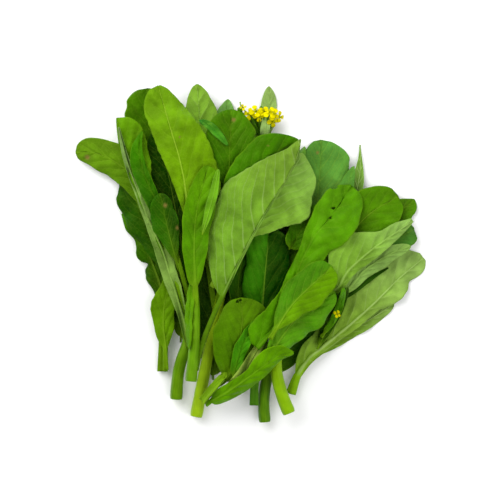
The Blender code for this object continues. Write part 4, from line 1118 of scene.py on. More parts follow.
# %% A short way to write materials
class Finish:
    """A material's node tree, with one call for each node."""

    def __init__(self, name):
        self.material = bpy.data.materials.new(name)
        self.material.use_nodes = True
        self.tree = self.material.node_tree
        self.shader = self.tree.nodes["Principled BSDF"]
        self.output = self.tree.nodes["Material Output"]

    def set(self, socket, value):
        if isinstance(value, bpy.types.NodeSocket):
            self.tree.links.new(value, socket)
        else:
            socket.default_value = value

    def node(self, kind, inputs=(), out=0, **settings):
        """Adds a node, fills its inputs by place or name, and returns one of its outputs."""
        made = self.tree.nodes.new("ShaderNode" + kind)
        for key, value in settings.items():
            setattr(made, key, value)
        pairs = inputs.items() if isinstance(inputs, dict) else enumerate(inputs)
        for key, value in pairs:
            self.set(made.inputs[key], value)
        return made.outputs[out]

    def math(self, operation, *inputs):
        return self.node("Math", inputs, operation=operation)

    def times(self, a, b):
        return self.math("MULTIPLY", a, b)

    def plus(self, a, b):
        return self.math("ADD", a, b)

    def less(self, a, b):
        return self.math("SUBTRACT", a, b)

    def ramp(self, value, low, high, first=0.0, last=1.0):
        """Goes smoothly from first to last as the value goes from low to high."""
        inputs = {"Value": value, "From Min": low, "From Max": high, "To Min": first, "To Max": last}
        return self.node("MapRange", inputs, interpolation_type="SMOOTHSTEP")

    def mix(self, share, a, b, blend="MIX"):
        """Mixes two colours."""
        return self.node("Mix", {0: share, 6: a, 7: b}, out=2, data_type="RGBA", blend_type=blend)

    def noise(self, vector, scale, detail=2.0):
        return self.node("TexNoise", {"Vector": vector, "Scale": scale, "Detail": detail})

    def attribute(self, name, out):
        return self.node("Attribute", out=out, attribute_name=name)

    def parts(self, vector):
        """The three numbers of a vector."""
        return [self.node("SeparateXYZ", [vector], out=i) for i in range(3)]

    def finish(self, colour, roughness, bump, shine=0.35, glow=None, gleam=(0.75, 1.0, 0.12)):
        """Fills in the shader. Glow is the share and the colour of light that comes through from behind, and
        gleam tints the reflections, as the green wax on a leaf does."""
        self.shader.inputs["Specular IOR Level"].default_value = shine
        self.shader.inputs["Specular Tint"].default_value = (*gleam, 1.0)
        self.set(self.shader.inputs["Base Color"], colour)
        self.set(self.shader.inputs["Roughness"], roughness)
        self.set(self.shader.inputs["Normal"], bump)
        if glow:
            through = self.node("BsdfTranslucent", {"Color": glow[1], "Normal": bump})
            mixed = self.node("MixShader", [glow[0], self.shader.outputs[0], through])
            self.set(self.output.inputs[0], mixed)
        return self.material


# %% What a leaf's skin reads from its mesh
def vein_lines(f, number, thin, margin):
    """1 along side veins, and less along the shorter ones that run between them near the margin."""
    off = f.math("ABSOLUTE", f.less(f.math("FRACT", f.plus(number, 0.5)), 0.5))
    vein = f.ramp(f.math("DIVIDE", off, thin), 0.3, 1.7, 1.0, 0.0)
    between = f.ramp(f.math("DIVIDE", f.less(0.5, off), thin), 0.2, 1.1, 0.45, 0.0)
    return f.math("MAXIMUM", vein, f.times(between, f.ramp(margin, 0.25, 0.6)))


def fine_net(f, here, to_rib):
    """A net of coarse and fine meshes, bent by noise so that no mesh is straight, and none on the rib."""
    drift = f.node("TexNoise", {"Vector": here, "Scale": 0.12}, out=1)
    warp = f.node("VectorMath", [drift, (2.4, 2.4, 0)], operation="MULTIPLY")
    bent = f.node("VectorMath", [here, warp], operation="ADD")
    cells = f.node("TexVoronoi", {"Vector": bent, "Scale": 0.21}, feature="DISTANCE_TO_EDGE")
    small = f.node("TexVoronoi", {"Vector": bent, "Scale": 0.6}, feature="DISTANCE_TO_EDGE")
    mesh = f.math("MAXIMUM", f.ramp(cells, 0.0, 0.10, 1.0, 0.0), f.ramp(small, 0.0, 0.14, 0.4, 0.0))
    return f.times(mesh, f.ramp(to_rib, 1.1, 2.2))


# %% The skins
def leaf_skin(name, veins, net, raised, shine):
    """A leaf's skin: the colour written on its mesh, painted shade and light included, paler along the veins,
    with a fine net. raised is 1 where veins stand out and -1 where they are sunken."""
    f = Finish(name)
    tone = f.attribute("tone", 0)
    number, thin, mark = f.parts(f.attribute("veins", 1))
    to_rib, margin, bare = f.parts(f.attribute("place", 1))
    rough, clear, line = f.parts(f.attribute("finish", 1))
    here = f.node("UVMap", uv_map="UVMap")
    vein = vein_lines(f, number, thin, margin)
    rib = f.times(f.ramp(to_rib, 0.5, 1.3, 1.0, 0.0), f.less(1.0, bare))
    mesh = fine_net(f, here, to_rib)
    patch = f.ramp(f.noise(here, 0.07, 3.0), 0.3, 0.7, 0.84, 1.14)
    grain = f.ramp(f.noise(here, 1.4, 3.0), 0.3, 0.7, 0.94, 1.05)
    colour = f.mix(1.0, tone, f.node("CombineColor", [f.times(patch, grain)] * 3), "MULTIPLY")
    light = f.mix(0.5, colour, paint(veins))
    colour = f.mix(f.times(f.times(mesh, net), clear), colour, light)
    colour = f.mix(f.times(vein, clear), colour, light)
    colour = f.mix(f.times(rib, line), colour, paint(veins))
    colour = f.mix(mark, colour, paint("#8c7a3c"))
    height = f.plus(f.times(vein, 0.5), f.times(mesh, 0.3))
    height = f.times(f.times(height, f.less(1.0, rib)), raised)
    height = f.plus(height, f.times(f.noise(here, 0.5, 4.0), 0.8))
    height = f.plus(height, f.times(f.noise(here, 0.13, 2.0), 3.0))
    bump = f.node("Bump", {"Strength": 0.6, "Distance": 0.0006, "Height": height})
    rough = f.plus(rough, f.ramp(f.noise(here, 0.25), 0.3, 0.7, -0.05, 0.08))
    return f.finish(colour, rough, bump, shine, (0.1, f.mix(0.2, colour, paint("#9ad200"))))


face_skin = leaf_skin("leaf_face", "#a4cb38", 0.6, -1.0, 0.14)
glossy_skin = leaf_skin("leaf_face_wet", "#a4cb38", 0.6, -1.0, 0.35)
back_skin = leaf_skin("leaf_back", "#bedb88", 0.16, 1.0, 0.06)
print("nodes in a leaf's skin:", len(face_skin.node_tree.nodes))

# %% [markdown]
# ## Stems
# A choy sum stem is juicy, smooth and a little shiny, with faint grooves along it. It is cut straight
# across, and the cut shows a green rim round a pale, watery pith. The tube is a circle carried along the
# settled middle line. At the cut end the same circle shrinks in a few rings to the middle, which sinks a
# little.

# %% Tubes
def tube(path, radii, sides, groove=0.0):
    """Rings of points round a path, one row for each point of it, and the turn of each point of a ring."""
    ahead = np.gradient(path, axis=0)
    ahead /= np.maximum(np.linalg.norm(ahead, axis=1, keepdims=True), 1e-9)
    reference = np.where(np.abs(ahead[:, 2:]) > 0.9, [[1.0, 0, 0]], [[0, 0, 1.0]])
    left = np.cross(reference, ahead)
    left /= np.linalg.norm(left, axis=1, keepdims=True)
    up = np.cross(ahead, left)
    turn = np.linspace(0, 2 * np.pi, sides, endpoint=False)
    ring = np.cos(turn)[None, :, None] * left[:, None] + np.sin(turn)[None, :, None] * up[:, None]
    size = np.asarray(radii)[:, None] * (1 + groove * np.cos(7 * turn))
    return path[:, None] + ring * size[..., None], turn


def tube_faces(n, m):
    """Faces of n rings of m points, with one end on the first ring and one on the last."""
    ids = np.arange(n * m).reshape(n, m)
    ids = np.concatenate([ids, ids[:, :1]], axis=1)
    sides = np.stack([ids[:-1, :-1], ids[:-1, 1:], ids[1:, 1:], ids[1:, :-1]], -1).reshape(-1, 4)
    return [*sides, ids[0, :-1][::-1], ids[-1, :-1]]


# %% A fine stem
STEM_SIDES, STEM_ROW = 40, 2.0
CUT_RINGS = ((0.1, -0.5), (0.3, -0.4), (0.5, -0.25), (0.7, 0.0), (0.85, 0.3), (0.95, 0.35), (1.0, 0.1))


def fine_stem(line, radii):
    """A stem's skin, ring by ring, with the rings of its cut end first, and for each point a flag for the
    cut, how far in it is, and how far along. A cut ring is a share of the radius, and a way out of the
    cut."""
    share = np.linspace(0, 1, round(np.linalg.norm(np.diff(line, axis=0), axis=1).sum() / STEM_ROW) + 1)
    path, length = smooth_curve(line, share)
    radius = np.interp(share, np.linspace(0, 1, len(radii)), radii)
    radius = radius * (1 + 0.03 * wobble(share * length, 0 * share, 5, 70.0))
    radius = radius * np.where(share > 0.98, np.sqrt(np.clip((1 - share) / 0.02, 0.05, 1)), 1)
    radius = radius * (1 - 0.1 * np.exp(-share * length / 1.5))
    skin, turn = tube(path, radius, STEM_SIDES, 0.015)
    ahead = (path[1] - path[0]) / np.linalg.norm(path[1] - path[0])
    cut = np.array([path[0] + (skin[0] - path[0]) * inner - ahead * out for inner, out in CUT_RINGS])
    points = np.concatenate([cut, skin])
    flags = np.concatenate([np.ones(len(cut)), np.zeros(len(skin))])
    inwards = np.concatenate([1 - np.array(CUT_RINGS)[:, 0], np.zeros(len(skin))])
    along = np.concatenate([np.zeros(len(cut)), share * length])
    place = np.stack([np.repeat(v[:, None], STEM_SIDES, 1) for v in (flags, inwards, along)], axis=2)
    around = np.minimum(turn, 2 * np.pi - turn)[None] * np.mean(radii)
    uv = np.stack([place[..., 2], np.broadcast_to(around, place.shape[:2])], axis=2)
    return points, place, uv


# %% The skin of a stem
def stem_skin():
    """Yellow-green skin with fine lines along it, tinted by the stem's own tone, and the pale cut end."""
    f = Finish("stem_skin")
    flag, inwards, _ = f.parts(f.attribute("place", 1))
    here = f.node("UVMap", uv_map="UVMap")
    long = f.node("Mapping", {"Vector": here, "Scale": (0.05, 1.2, 1.0)})
    lines = f.ramp(f.noise(long, 1.0, 3.0), 0.3, 0.7)
    patch = f.ramp(f.noise(here, 0.06, 2.0), 0.3, 0.7, 0.85, 1.12)
    tone = f.attribute("tone", 0)
    colour = f.mix(f.times(lines, 0.2), tone, paint("#a4cf28"))
    colour = f.mix(1.0, colour, f.node("CombineColor", [patch] * 3), "MULTIPLY")
    pith = f.mix(f.ramp(inwards, 0.05, 0.3), paint("#86ac30"), paint("#cfe09a"))
    colour = f.mix(flag, colour, pith)
    height = f.plus(f.times(lines, 0.6), f.times(f.noise(here, 0.8, 3.0), 0.5))
    bump = f.node("Bump", {"Strength": 0.35, "Distance": 0.0004, "Height": height})
    return f.finish(colour, f.ramp(f.noise(here, 0.3), 0.3, 0.7, 0.3, 0.42), bump, 0.3)


stem_finish = stem_skin()
print("nodes in a stem's skin:", len(stem_finish.node_tree.nodes))

# %% [markdown]
# ## Leaves that only the fine bunch has
# The gaps between the stems don't show the table but more leaves, deep down, and stalks that
# belong to the leaves on top. They are too thin and too crowded for the solids. Each is laid under the
# piece it is listed with, on whatever lies there already. The deep leaves are painted nearly black, which
# is painted shade, and two dark strips stand only for the shade in a slot and a hollow on the right.

# %% The extra pieces deep down
# the width of a folded margin along its blade
FOLD = ((0, 0.4), (0.15, 0.6), (0.28, 1), (0.42, 1), (0.56, 0.55), (0.8, 0.4), (1, 0.1))


def deep(name, node, rib, blade, left, right):
    """A thin flat leaf at the very bottom of the bunch."""
    return leaf(name, node, rib, blade, left, right, stalk=1.0, arch=0, rest=70)


def small(name, node, rib, left, right, blade=0.02, stalk=0.8, arch=1, rest=60, **more):
    """A small leaf or strip with hardly any bare stalk."""
    return leaf(name, node, rib, blade, left, right, stalk=stalk, arch=arch, rest=rest, **more)


EXTRAS = {
    "hidden_left": [
        # leaves deep under the bunch that fill its gaps; their looks paint them nearly black, which is
        # painted shade
        deep("under_left", "leaf_hidden_left", [(-71, -90), (-70, -60), (-72, -20), (-78, 40), (-82, 100)],
             0.03, side(13, 0.3, 0.5, 0.6), side(20, 0.3, 0.5, 0.6)),
        deep("under_middle", "leaf_hidden_middle", [(-38, -128), (-40, -80), (-38, -30), (-36, 20)],
             0.03, side(18, 0.5, 0.6, 0.5), side(18, 0.3, 0.5, 0.6)),
        deep("under_top", "leaf_hidden_middle", [(30, -70), (34, -20), (36, 40), (38, 80)],
             0.03, *both(22, 0.5, 0.6, 0.5)),
        deep("under_round", "leaf_hidden_middle", [(-14, -136), (-6, -104), (6, -60), (24, -20)],
             0.03, side(20, 0.3, 0.5, 0.6), side(18, 0.3, 0.5, 0.6)),
        deep("under_right", "leaf_hidden_right", [(14, -128), (28, -106), (50, -76), (80, -50), (106, -30)],
             0.05, side(22, 0.4, 0.6, 0.6), side(16, 0.3, 0.5, 0.6)),
    ],
}
print("extras so far:", len(EXTRAS))

# %% The extra strips and shoots behind
EXTRAS |= {
    "left_spoon": [
        small("folded_strip", "shoot_left", [(-61, -94), (-68, -62), (-79, -27), (-88, 3), (-101, 31),
              (-113, 63), (-124, 93), (-132, 125)], *both(7, knots=FOLD), stalk=1.2,
              arch=2, lobe=0.03, rest=55),
    ],
    "flower_head": [
        small("behind_flowers", "shoot_flowering", [(6, 104), (4, 122), (0, 140)],
              *both(8, 0.4, 0.4, 0.6), blade=0.05),
    ],
    "right_band": [
        # a dark strip that stands only for the shade in the slot between right_band and right_outer: painted
        # shade
        small("slot_shade_strip", "shoot_right", [(88, -48), (106, -35), (122, -24), (138, -15)],
              side(2.4, 0.4, 0.5, 0.9), side(2.8, 0.3, 0.5, 0.9), stalk=0.7, lobe=0.02, rest=55),
    ],
    "middle_thin": [
        # a near-black strip that stands only for the shade in the hollow between front_glossy and
        # right_outer: painted shade
        small("hollow_shade_strip", "shoot_right", [(66, -96), (78, -74), (88, -54), (96, -34)],
              side(9, 0.6, 0.7, 0.5), side(5, 0.6, 0.7, 0.5), blade=0.05, stalk=1.0),
        small("hollow_shoot", "shoot_right", [(70, -84), (79, -72), (86, -60), (90, -46), (91, -34)],
              *both(3, 0.6, 0.5, 0.5), blade=0.1, stalk=1.6, arch=2),
    ],
    "back_right_tooth": [
        small("back_edge", "shoot_back_right", [(84, 40), (92, 56), (98, 72), (103, 87)],
              side(8, 0.4, 0.5, 0.8), side(7, 0.4, 0.5, 0.8)),
        small("back_corner", "shoot_back_right", [(36, 52), (42, 72), (48, 90), (54, 107)],
              side(9, 0.4, 0.5, 0.8), side(7, 0.4, 0.5, 0.8)),
    ],
    "flowering_broad": [
        small("bract_front", "shoot_flowering", [(12, 106), (14, 118), (15, 130), (16, 140)],
              side(4.5, 0.5, 0.4, 0.4), side(4, 0.5, 0.4, 0.4), arch=5, lobe=0.02),
    ],
    "flowering_dark": [
        # a shiny folded strip whose bluish green is painted sheen
        small("sheen_fold", "shoot_flowering", [(-51, 131), (-43, 126), (-34, 118), (-23, 106)],
              side(4.5, 0.4, 0.6, 0.6, fold=20), side(4.5, 0.4, 0.6, 0.6, fold=-40, curl=-30), lobe=0.02),
    ],
}
print("extras so far:", len(EXTRAS))

# %% The extra strips and stalks in front
EXTRAS |= {
    "middle_pale": [
        small("centre_green", "leaf_hidden_right", [(38, 4), (46, 16), (56, 32), (66, 48)],
              side(11, 0.4, 0.4, 0.6), side(12, 0.4, 0.4, 0.6), stalk=0.9),
    ],
    "front_broad": [
        small("stem_wing", "shoot_front_left", [(-61, -94), (-61, -76), (-60, -52), (-59, -28)],
              side(4, 0.6, 0.5, 0.5, fold=-20), side(3, 0.5, 0.5, 0.5), lobe=0.1, wave=(1.0, 5.0, 0.0),
              rest=55),
    ],
    "front_round": [
        small("spoon_strip", "shoot_front_left", [(-48, 18), (-42, 38), (-36, 60), (-32, 82)],
              side(4, 0.5, 0.8, 0.5), side(3.4, 0.5, 0.8, 0.5), stalk=0.7, lobe=0.02, rest=55),
    ],
    "front_long": [
        small("green_strip", "leaf_front_long", [(-18, -124), (-13, -104), (-6, -86), (6, -66)],
              *both(6, 0.5, 0.4, 0.5), blade=0.05, stalk=1.2, lobe=0.08, rest=55),
        small("olive_stalk", "leaf_front_glossy", [(-30, -139), (-17, -128), (-4, -112), (6, -96),
              (18, -76)], *both(4.5, 0.5, 0.4, 0.6), blade=0.05, stalk=1.4, arch=2,
              lobe=0.02),
    ],
    "last": [
        small("round_stalk", "leaf_front_round", [(-49, -146), (-39, -134), (-24, -118)], *both(2),
              blade=0.8, stalk=3.6, rest=50),
    ],
}
print("leaves in the fine bunch only:", sum(len(group) for group in EXTRAS.values()))

# %% [markdown]
# ## Making the pieces
# The settled table now becomes meshes, from the bottom of the bunch to its top. Each fine leaf takes the
# heights of its lattice. A leaf without a lattice drops on to what lies there. Either way the leaf is then
# lifted softly where its finer relief would touch a neighbour, and is added to a second, finer height map.
#
# Every piece is an object of its own, so that it can be picked up and changed alone, and it is tied to the
# body of the bunch. It hides the coarse solid that it stands for.

# %% What the objects share
STEM_TONES = {
    "left_stem": "#528400", "front_left_stem": "#568e04", "flowering_stem": "#98c014",
    "back_right_stem": "#3c7202", "right_stem": "#82b404",
}

STEM_NODES = {piece["node"] for piece in PIECES if piece["kind"] == "stem"}
FINE_SAMPLES = 3  # tests along each side of a fine cell
fine_bed = Bed(FINE_CELL, CLEARANCE, FINE_SAMPLES)
made, touching = {}, {}


def put(name, mesh, materials, node):
    """An object for a finished piece: it rides on the bunch and stands for its CAD node."""
    obj = bpy.data.objects.new(name, mesh)
    bpy.context.scene.collection.objects.link(obj)
    for finish in materials:
        mesh.materials.append(finish)
    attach(obj, "root")
    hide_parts(node)
    made[name] = obj


# %% What a leaf's mesh tells its skins
def written(fine, looks, seed):
    """The attributes and the map of a leaf's two sheets: tone, veins, place on the leaf and finish."""
    keys = ("colour", "left", "tip", "rim", "stalk", "back")
    main, left, tip, rim, stalk, back = (own(looks[key]) for key in keys)
    tone = tinted(fine, main, left, tip, rim, stalk, seed)
    other = tinted(fine, back, back, back, rim, stalk, seed)
    shape = fine["across"].shape
    to_rib = np.abs(fine["across"]) / np.maximum(looks["rib"] * fine["radius"][:, None], 0.25)
    bare = np.broadcast_to(np.clip(1 - fine["t"] * 30, 0, 1)[:, None], shape)
    along = np.broadcast_to(fine["along"][:, None], shape)
    vectors = {
        "veins": np.stack([fine["number"], fine["thin"], spots(fine, looks["marks"])], axis=2),
        "place": np.stack([to_rib, fine["margin"], bare], axis=2),
        "finish": np.broadcast_to([looks["gloss"], looks["veins"], looks["line"]], (*shape, 3)),
    }
    attributes = {key: np.stack([value, value]) for key, value in vectors.items()}
    attributes["tone"] = np.stack([tone, other])
    uv = np.stack([along, fine["across"]], axis=2)
    return attributes, np.stack([uv, uv])


# %% One fine leaf
FLOOR_GAP, THINNEST = 0.02, 0.2  # millimetres between a leaf and the table, and between its two skins


def make_leaf(piece, heights, share, seed):
    """One fine leaf, laid on the bed, as a mesh with its two skins."""
    looks = LOOKS[piece["name"]]
    coarse = (piece, heights, share)
    piece = {**piece, **looks["fine"]}
    fine = fine_leaf(piece, coarse, seed, looks)
    _, _, half = skins_of(fine, looks)
    if heights is None:
        lowered(fine_bed, piece, fine, half)
        fine["grid"][..., 2] += looks["lift"] * np.clip(fine["t"] * 3, 0, 1)[:, None]
    attached = heights is not None and piece["node"] in STEM_NODES
    touching[piece["name"]] = cleared(fine_bed, piece, fine, half, attached)
    keep = pierced(fine["grid"], looks["holes"])
    upper, lower, half = skins_of(fine, looks)
    lower[..., 2] = np.maximum(lower[..., 2], FLOOR_GAP)
    upper[..., 2] = np.maximum(upper[..., 2], lower[..., 2] + THINNEST)
    fine_bed.add(piece["node"], fine["grid"], half)
    faces, side_of = two_sheets(keep)
    attributes, uv = written(fine, looks, seed)
    mesh = new_mesh(piece["name"], np.stack([upper, lower]), faces, attributes, uv, side_of)
    face = glossy_skin if looks["glossy"] else face_skin
    skins = [face, back_skin] if looks["shows"] == "face" else [back_skin, face]
    put(piece["name"], mesh, skins, piece["node"])


# %% One fine stem
def make_stem(piece, grid):
    """One fine stem, on its settled line. For the bed it is a half cylinder, cut into strips."""
    line = grid[:, 1]
    points, place, uv = fine_stem(line, piece["radii"])
    n, m = place.shape[:2]
    tone = np.ones((n, m, 4))
    tone[..., :3] = own(STEM_TONES[piece["name"]])
    mesh = new_mesh(piece["name"], points, tube_faces(n, m), {"place": place, "tone": tone}, uv)
    put(piece["name"], mesh, [stem_finish], piece["node"])
    slices = np.linspace(-1, 1, 11)
    radius = np.interp(np.linspace(0, 1, len(line)), [0, 1], piece["radii"])[:, None]
    top = line[:, None] + (grid[:, 0] - line)[:, None] * slices[:, None]
    dense = np.linspace(0, len(line) - 1, 8 * len(line))
    low = np.minimum(dense.astype(int), len(line) - 2)
    rest = (dense - low)[:, None, None]
    top = top[low] * (1 - rest) + top[low + 1] * rest
    radius = radius[low] * (1 - rest[..., 0]) + radius[low + 1] * rest[..., 0]
    fine_bed.add(piece["node"], top, radius * np.sqrt(np.clip(1 - slices**2, 0, 1)))


# %% Every piece, from the bottom up
EXTRA_SEED, LAST_SEED = 100, 900  # the draws of the extra pieces start here, those of the others at 0
for number, (piece, heights, share) in enumerate(SETTLED):
    for extra, other in enumerate(EXTRAS.get(piece["name"], ())):
        make_leaf(other, None, None, EXTRA_SEED + 10 * number + extra)
    if piece["kind"] == "leaf":
        make_leaf(piece, heights, share, number)
    elif piece["kind"] == "stem":
        make_stem(piece, heights)
for extra, other in enumerate(EXTRAS["last"]):
    make_leaf(other, None, None, LAST_SEED + extra)
triangles = {name: sum(len(p.vertices) - 2 for p in obj.data.polygons) for name, obj in made.items()}
print("triangles:", sum(triangles.values()), "largest:", max(triangles.values()))
print("still touching by, in mm:", {name: round(gap, 2) for name, gap in touching.items() if gap > ENOUGH})

# %% [markdown]
# ## The flowers
# Choy sum flowers have four yellow petals in a cross, six stamens and a small green pistil, on thin
# stalks. The head sits at the top of the flowering shoot, with a few buds. Petals start upright in a
# narrow claw and flare out, so a petal is a small sheet whose height rises quickly and then droops.

# %% Where the florets and buds are
FLORETS = (  # place on the table, height above the head's base, lean to the side, size
    (-14, 140, 1, (-0.5, 0.5), 0.55), (-8, 145, 3, (-0.2, 0.5), 0.6), (-1, 139, 3, (-0.4, -0.2), 1.05),
    (5, 141, 4, (0.1, 0.3), 1.1), (8, 137, 3, (0.1, -0.4), 0.9), (13, 141, 3, (-0.2, 0.5), 0.9),
    (18, 140, 4, (0.2, 0.3), 1.05), (22, 138, 3, (0.3, 0.2), 1.05), (22, 132, 2, (0.3, -0.4), 1.0),
    (28, 136, 2, (0.8, -0.1), 0.8),
)
BUDS = ((-11, 143, 2, 2.4), (-9, 139, 1, 2.0), (1, 134, 1, 1.8), (10, 145, 2, 1.6), (19, 127, 1, 1.7))
STALK_FOOT = np.array([12.0, 116.0])
PETAL = 6.6  # length of a petal
print("florets:", len(FLORETS), "buds:", len(BUDS))

# %% A petal
def frame_of(axis, turn):
    """Three unit ways, the last along the axis, turned round it."""
    axis = axis / np.linalg.norm(axis)
    first = np.cross(axis, [0.3, 1.0, 0.1])
    first /= np.linalg.norm(first)
    second = np.cross(axis, first)
    turned = math.cos(turn) * first + math.sin(turn) * second
    return np.stack([turned, math.cos(turn) * second - math.sin(turn) * first, axis])


def petal_shape(size, draw):
    """A petal along its first axis: a claw, then a round blade that cups and droops."""
    u = np.linspace(0, 1, 10)[:, None]
    v = np.linspace(-1, 1, 7)[None, :]
    width = 2.6 * size * (0.3 + np.clip((u - 0.1) / 0.5, 0, 1) ** 0.8 * 0.7)
    width = width * np.sqrt(np.clip(1 - np.clip((u - 0.7) / 0.32, 0, 1) ** 2, 0.02, 1))
    out = size * (0.4 + PETAL * u * (1 - 0.06 * np.abs(v) ** 3))
    droop = draw.uniform(0.3, 2.2)
    high = 2.2 * (1 - np.exp(-3.5 * u)) - droop * u**2 + 0.5 * u * v**2 + 0.15 * np.sin(9 * v + 5 * u)
    high = size * high
    return np.stack([out + 0 * v, width * v, high + 0 * v], axis=-1), u + 0 * v


def sheet(points, thickness):
    """Two skins a thickness apart."""
    normal = normals_of(points)
    return np.stack([points + normal * thickness / 2, points - normal * thickness / 2])


# %% Stalks, buds and anthers
def gathered(name, parts, node, material):
    """One mesh from parts, each with its points, faces, and for each point a tone and a map place."""
    points, faces, tones, maps, start = [], [], [], [], 0
    for shape, part_faces, tone, uv in parts:
        flat = shape.reshape(-1, 3)
        faces += [np.asarray(face) + start for face in part_faces]
        points.append(flat)
        tones.append(np.broadcast_to([*tone, 1.0], (len(flat), 4)))
        maps.append(np.broadcast_to(uv, (len(flat), 2)) if uv.ndim == 1 else uv.reshape(-1, 2))
        start += len(flat)
    tone = np.concatenate(tones)
    attributes = {"tone": tone, "place": np.zeros((len(tone), 3))}
    mesh = new_mesh(name, np.concatenate(points), faces, attributes, np.concatenate(maps))
    put(name, mesh, [material], node)


def thread(path, radii, tone, sides=8):
    """A thin closed tube as one part."""
    points, _ = tube(np.array(path, float), radii, sides)
    return points, tube_faces(len(points), sides), tone, np.zeros(2)


def egg(centre, axis, length, radius, tone):
    """A bud or an anther: a tube whose radius follows an ellipse."""
    steps = np.linspace(-0.97, 0.97, 9)
    path = np.array(centre) + np.outer(steps * length / 2, axis / np.linalg.norm(axis))
    return thread(path, radius * np.sqrt(1 - steps**2), tone, 10)


def arc(a, b, lift, count=9):
    """A line from a to b that rises in between."""
    t = np.linspace(0, 1, count)[:, None]
    line = np.array(a) + (np.array(b) - np.array(a)) * t
    line[:, 2] += lift * np.sin(np.pi * t[:, 0])
    return line


# %% One flower
PETAL_SKIN = 0.18  # thickness of a petal


def turned_flat(turn):
    """Rows that turn a place about the third axis."""
    return np.array([[math.cos(turn), math.sin(turn), 0], [-math.sin(turn), math.cos(turn), 0], [0, 0, 1]])


def floret(centre, lean, size, draw):
    """Parts of one flower: yellow petals, stamens and anthers, and its green pistil and sepals."""
    yellow, green = [], []
    ways = frame_of(np.array([*lean, 0.8]), draw.uniform(0, np.pi / 2))
    faces, _ = two_sheets(np.ones((9, 6), bool))
    for k in range(4):
        shape, along = petal_shape(size * draw.uniform(0.85, 1.1), draw)
        spin = turned_flat(k * np.pi / 2 + draw.uniform(-0.15, 0.15))
        skins = sheet(shape @ spin @ ways + centre, PETAL_SKIN)
        uv = np.stack([along, 0.5 + 0 * along], axis=-1)
        yellow.append((skins, faces, own("#fff400") * draw.uniform(0.95, 1.2), np.stack([uv, uv])))
        sepal = np.array([0, 0, -0.4]) + np.outer(np.linspace(0, 1, 6), [1.6 * size, 0, 1.8 * size])
        radii = 0.45 * size * np.linspace(1, 0.3, 6)
        green.append(thread(sepal @ spin @ ways + centre, radii, own("#b4c82c")))
    for k in range(6):
        turn = k * np.pi / 3 + 0.4
        top = np.array([1.3 * math.cos(turn), 1.3 * math.sin(turn), 4.2]) * size @ ways + centre
        yellow.append(thread(arc(centre, top, 0.2, 6), np.full(6, 0.16), own("#e8e050"), 6))
        yellow.append(egg(top, ways[2], 1.3 * size, 0.42 * size, own("#f4e000")))
    green.append(egg(centre + ways[2] * 1.8 * size, ways[2], 4.6 * size, 0.5 * size, own("#86b414")))
    return yellow, green


# %% The skin of a petal
def petal_skin():
    """Bright yellow, deeper towards the claw, with faint lines along the petal, and thin enough to glow."""
    f = Finish("petal")
    here = f.node("UVMap", uv_map="UVMap")
    along, _, _ = f.parts(here)
    colour = f.mix(f.ramp(along, 0.0, 0.5, 0.5, 0.0), f.attribute("tone", 0), paint("#c8d000"))
    bump = f.node("Bump", {"Strength": 0.3, "Distance": 0.0002, "Height": f.noise(here, 9.0)})
    return f.finish(colour, 0.5, bump, 0.15, (0.25, colour))


petal_finish = petal_skin()

# %% The flower head
STALK_TONE = own("#2f6c04")
HEAD_SINKS = 4  # millimetres by which the florets come down between the leaves they lie on


def flower_head(base):
    """The head on its base height: florets and buds, each on a thin stalk that comes from the shoot."""
    print("flower head on height", round(float(base), 1))
    draw = np.random.default_rng(21)

    def stalk(top, radius):
        root = foot + draw.uniform(-1.5, 1.5, 3)
        return thread(arc(root, top, 1.0), np.full(9, radius), STALK_TONE)

    yellow, green = [], []
    foot = np.array([*STALK_FOOT, base - 6.0])
    for x, y, high, lean, size in FLORETS:
        centre = np.array([x, y, base + high])
        petals, leaves = floret(centre, lean, size, draw)
        yellow += petals
        green += leaves
        green.append(stalk(centre, 0.55))
    for x, y, high, size in BUDS:
        top = np.array([x, y, base + high])
        green.append(egg(top, np.array([x - 8, 14, 6.0]), 2.6 * size, size, STALK_TONE))
        green.append(stalk(top, 0.5))
    pistil = arc((-10, 145, base + 2), (-11, 151, base + 4), 0.2)
    green.append(thread(pistil, np.linspace(0.5, 0.8, 9), own("#a9c978")))
    gathered("flower_petals", yellow, "flower_head", petal_finish)
    gathered("flower_stalks", green, "flower_head", stem_finish)


flower_head(next(height for piece, height, _ in SETTLED if piece["kind"] == "head") - HEAD_SINKS)

# %% The flower in the hollow
def hollow_flower(x, y, size):
    """A small flower that peeps out of the dark hollow on the right, on top of the shoot there."""
    mesh = made["hollow_shoot"].data
    points = np.zeros((len(mesh.vertices), 3))
    mesh.vertices.foreach_get("co", points.reshape(-1))
    points = points / MM
    near = np.linalg.norm(points[:, :2] + MIDDLE - (x, y), axis=1) < 4
    low = points[near, 2].max()
    centre = np.array([x, y, low + 7])
    print("hollow flower on height", centre[2].round(1), "of", points[:, 2].max().round(1))
    yellow, green = floret(centre, (0.5, 0.3), size, np.random.default_rng(5))
    green.append(thread(arc((x - 3, y - 9, low), centre, 1.5), np.full(9, 0.6), own("#3f7c08")))
    gathered("hollow_petals", yellow, "shoot_right", petal_finish)
    gathered("hollow_sepals", green, "shoot_right", stem_finish)


hollow_flower(85.5, -61.0, 0.6)

# %% [markdown]
# ## Table, light and camera
# The photo is taken from straight above on white. Two wide soft lights and a bright sky keep the shadows
# soft, and the table is nearly white, so it throws light back up under the leaves.

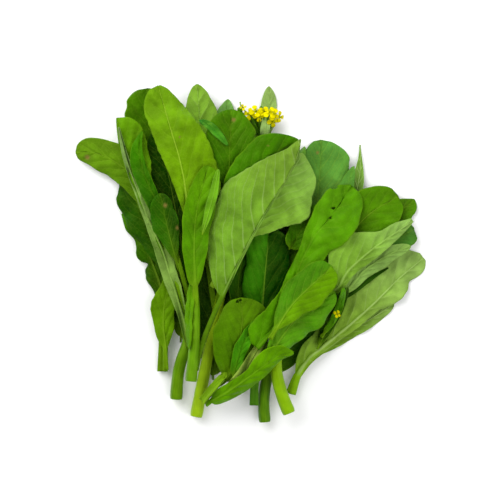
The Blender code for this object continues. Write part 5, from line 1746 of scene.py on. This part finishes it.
# %% The table
FLOOR_HALF = 2  # metres from the middle of the table to its edge
corners = [(x * FLOOR_HALF, y * FLOOR_HALF, 0) for x, y in ((-1, -1), (1, -1), (1, 1), (-1, 1))]
floor_mesh = bpy.data.meshes.new("table")
floor_mesh.from_pydata(corners, [], [(0, 1, 2, 3)])
floor = bpy.data.objects.new("table", floor_mesh)
bpy.context.scene.collection.objects.link(floor)
white = Finish("table_white")
floor_mesh.materials.append(white.finish((0.95, 0.95, 0.95, 1.0), 0.9, (0, 0, 0), 0.1, gleam=(1, 1, 1)))

# %% Lights
def soft_light(name, place, aim, size, power):
    """A square area light that looks at a point."""
    data = bpy.data.lights.new(name, "AREA")
    data.size = size
    data.energy = power
    light = bpy.data.objects.new(name, data)
    bpy.context.scene.collection.objects.link(light)
    light.location = place
    light.rotation_euler = (Vector(aim) - Vector(place)).to_track_quat("-Z", "Y").to_euler()


BUNCH, LIGHT_SIZE = (0, 0, 0), 1.4  # what the lights look at, and how wide they are, in metres
WINDOW_WATTS, FILL_WATTS = 25, 10
soft_light("window", (-0.75, 0.85, 1.0), BUNCH, LIGHT_SIZE, WINDOW_WATTS)
soft_light("fill", (0.9, -0.2, 1.1), BUNCH, LIGHT_SIZE, FILL_WATTS)
print("lights:", [light.name for light in bpy.data.lights])

# %% Sky
SKY_STRENGTH = 0.5
world = bpy.data.worlds.new("sky")
world.use_nodes = True
world.node_tree.nodes["Background"].inputs["Color"].default_value = (1, 1, 1, 1)
world.node_tree.nodes["Background"].inputs["Strength"].default_value = SKY_STRENGTH
scene = bpy.context.scene
scene.world = world
scene.view_settings.view_transform = "Standard"
scene.view_settings.look = "None"

# %% Camera
SENSOR = 36.0  # millimetres
DISTANCE, FRAME_WIDTH, MID_HEIGHT = 1.6, 0.5, 0.014  # metres: to the bunch, across the picture, of the focus
PHOTO_MIDDLE = (np.array([-1.0, 3.0]) - MIDDLE) * MM  # what the photo's middle looks at
camera_data = bpy.data.cameras.new("camera")
camera_data.sensor_width = SENSOR
camera_data.lens = SENSOR * DISTANCE / FRAME_WIDTH
camera = bpy.data.objects.new("camera", camera_data)
scene.collection.objects.link(camera)
camera.location = (*PHOTO_MIDDLE, MID_HEIGHT + DISTANCE)
scene.camera = camera
print("camera:", np.round(camera.location, 4).tolist(), "lens", round(camera_data.lens, 1), "mm")
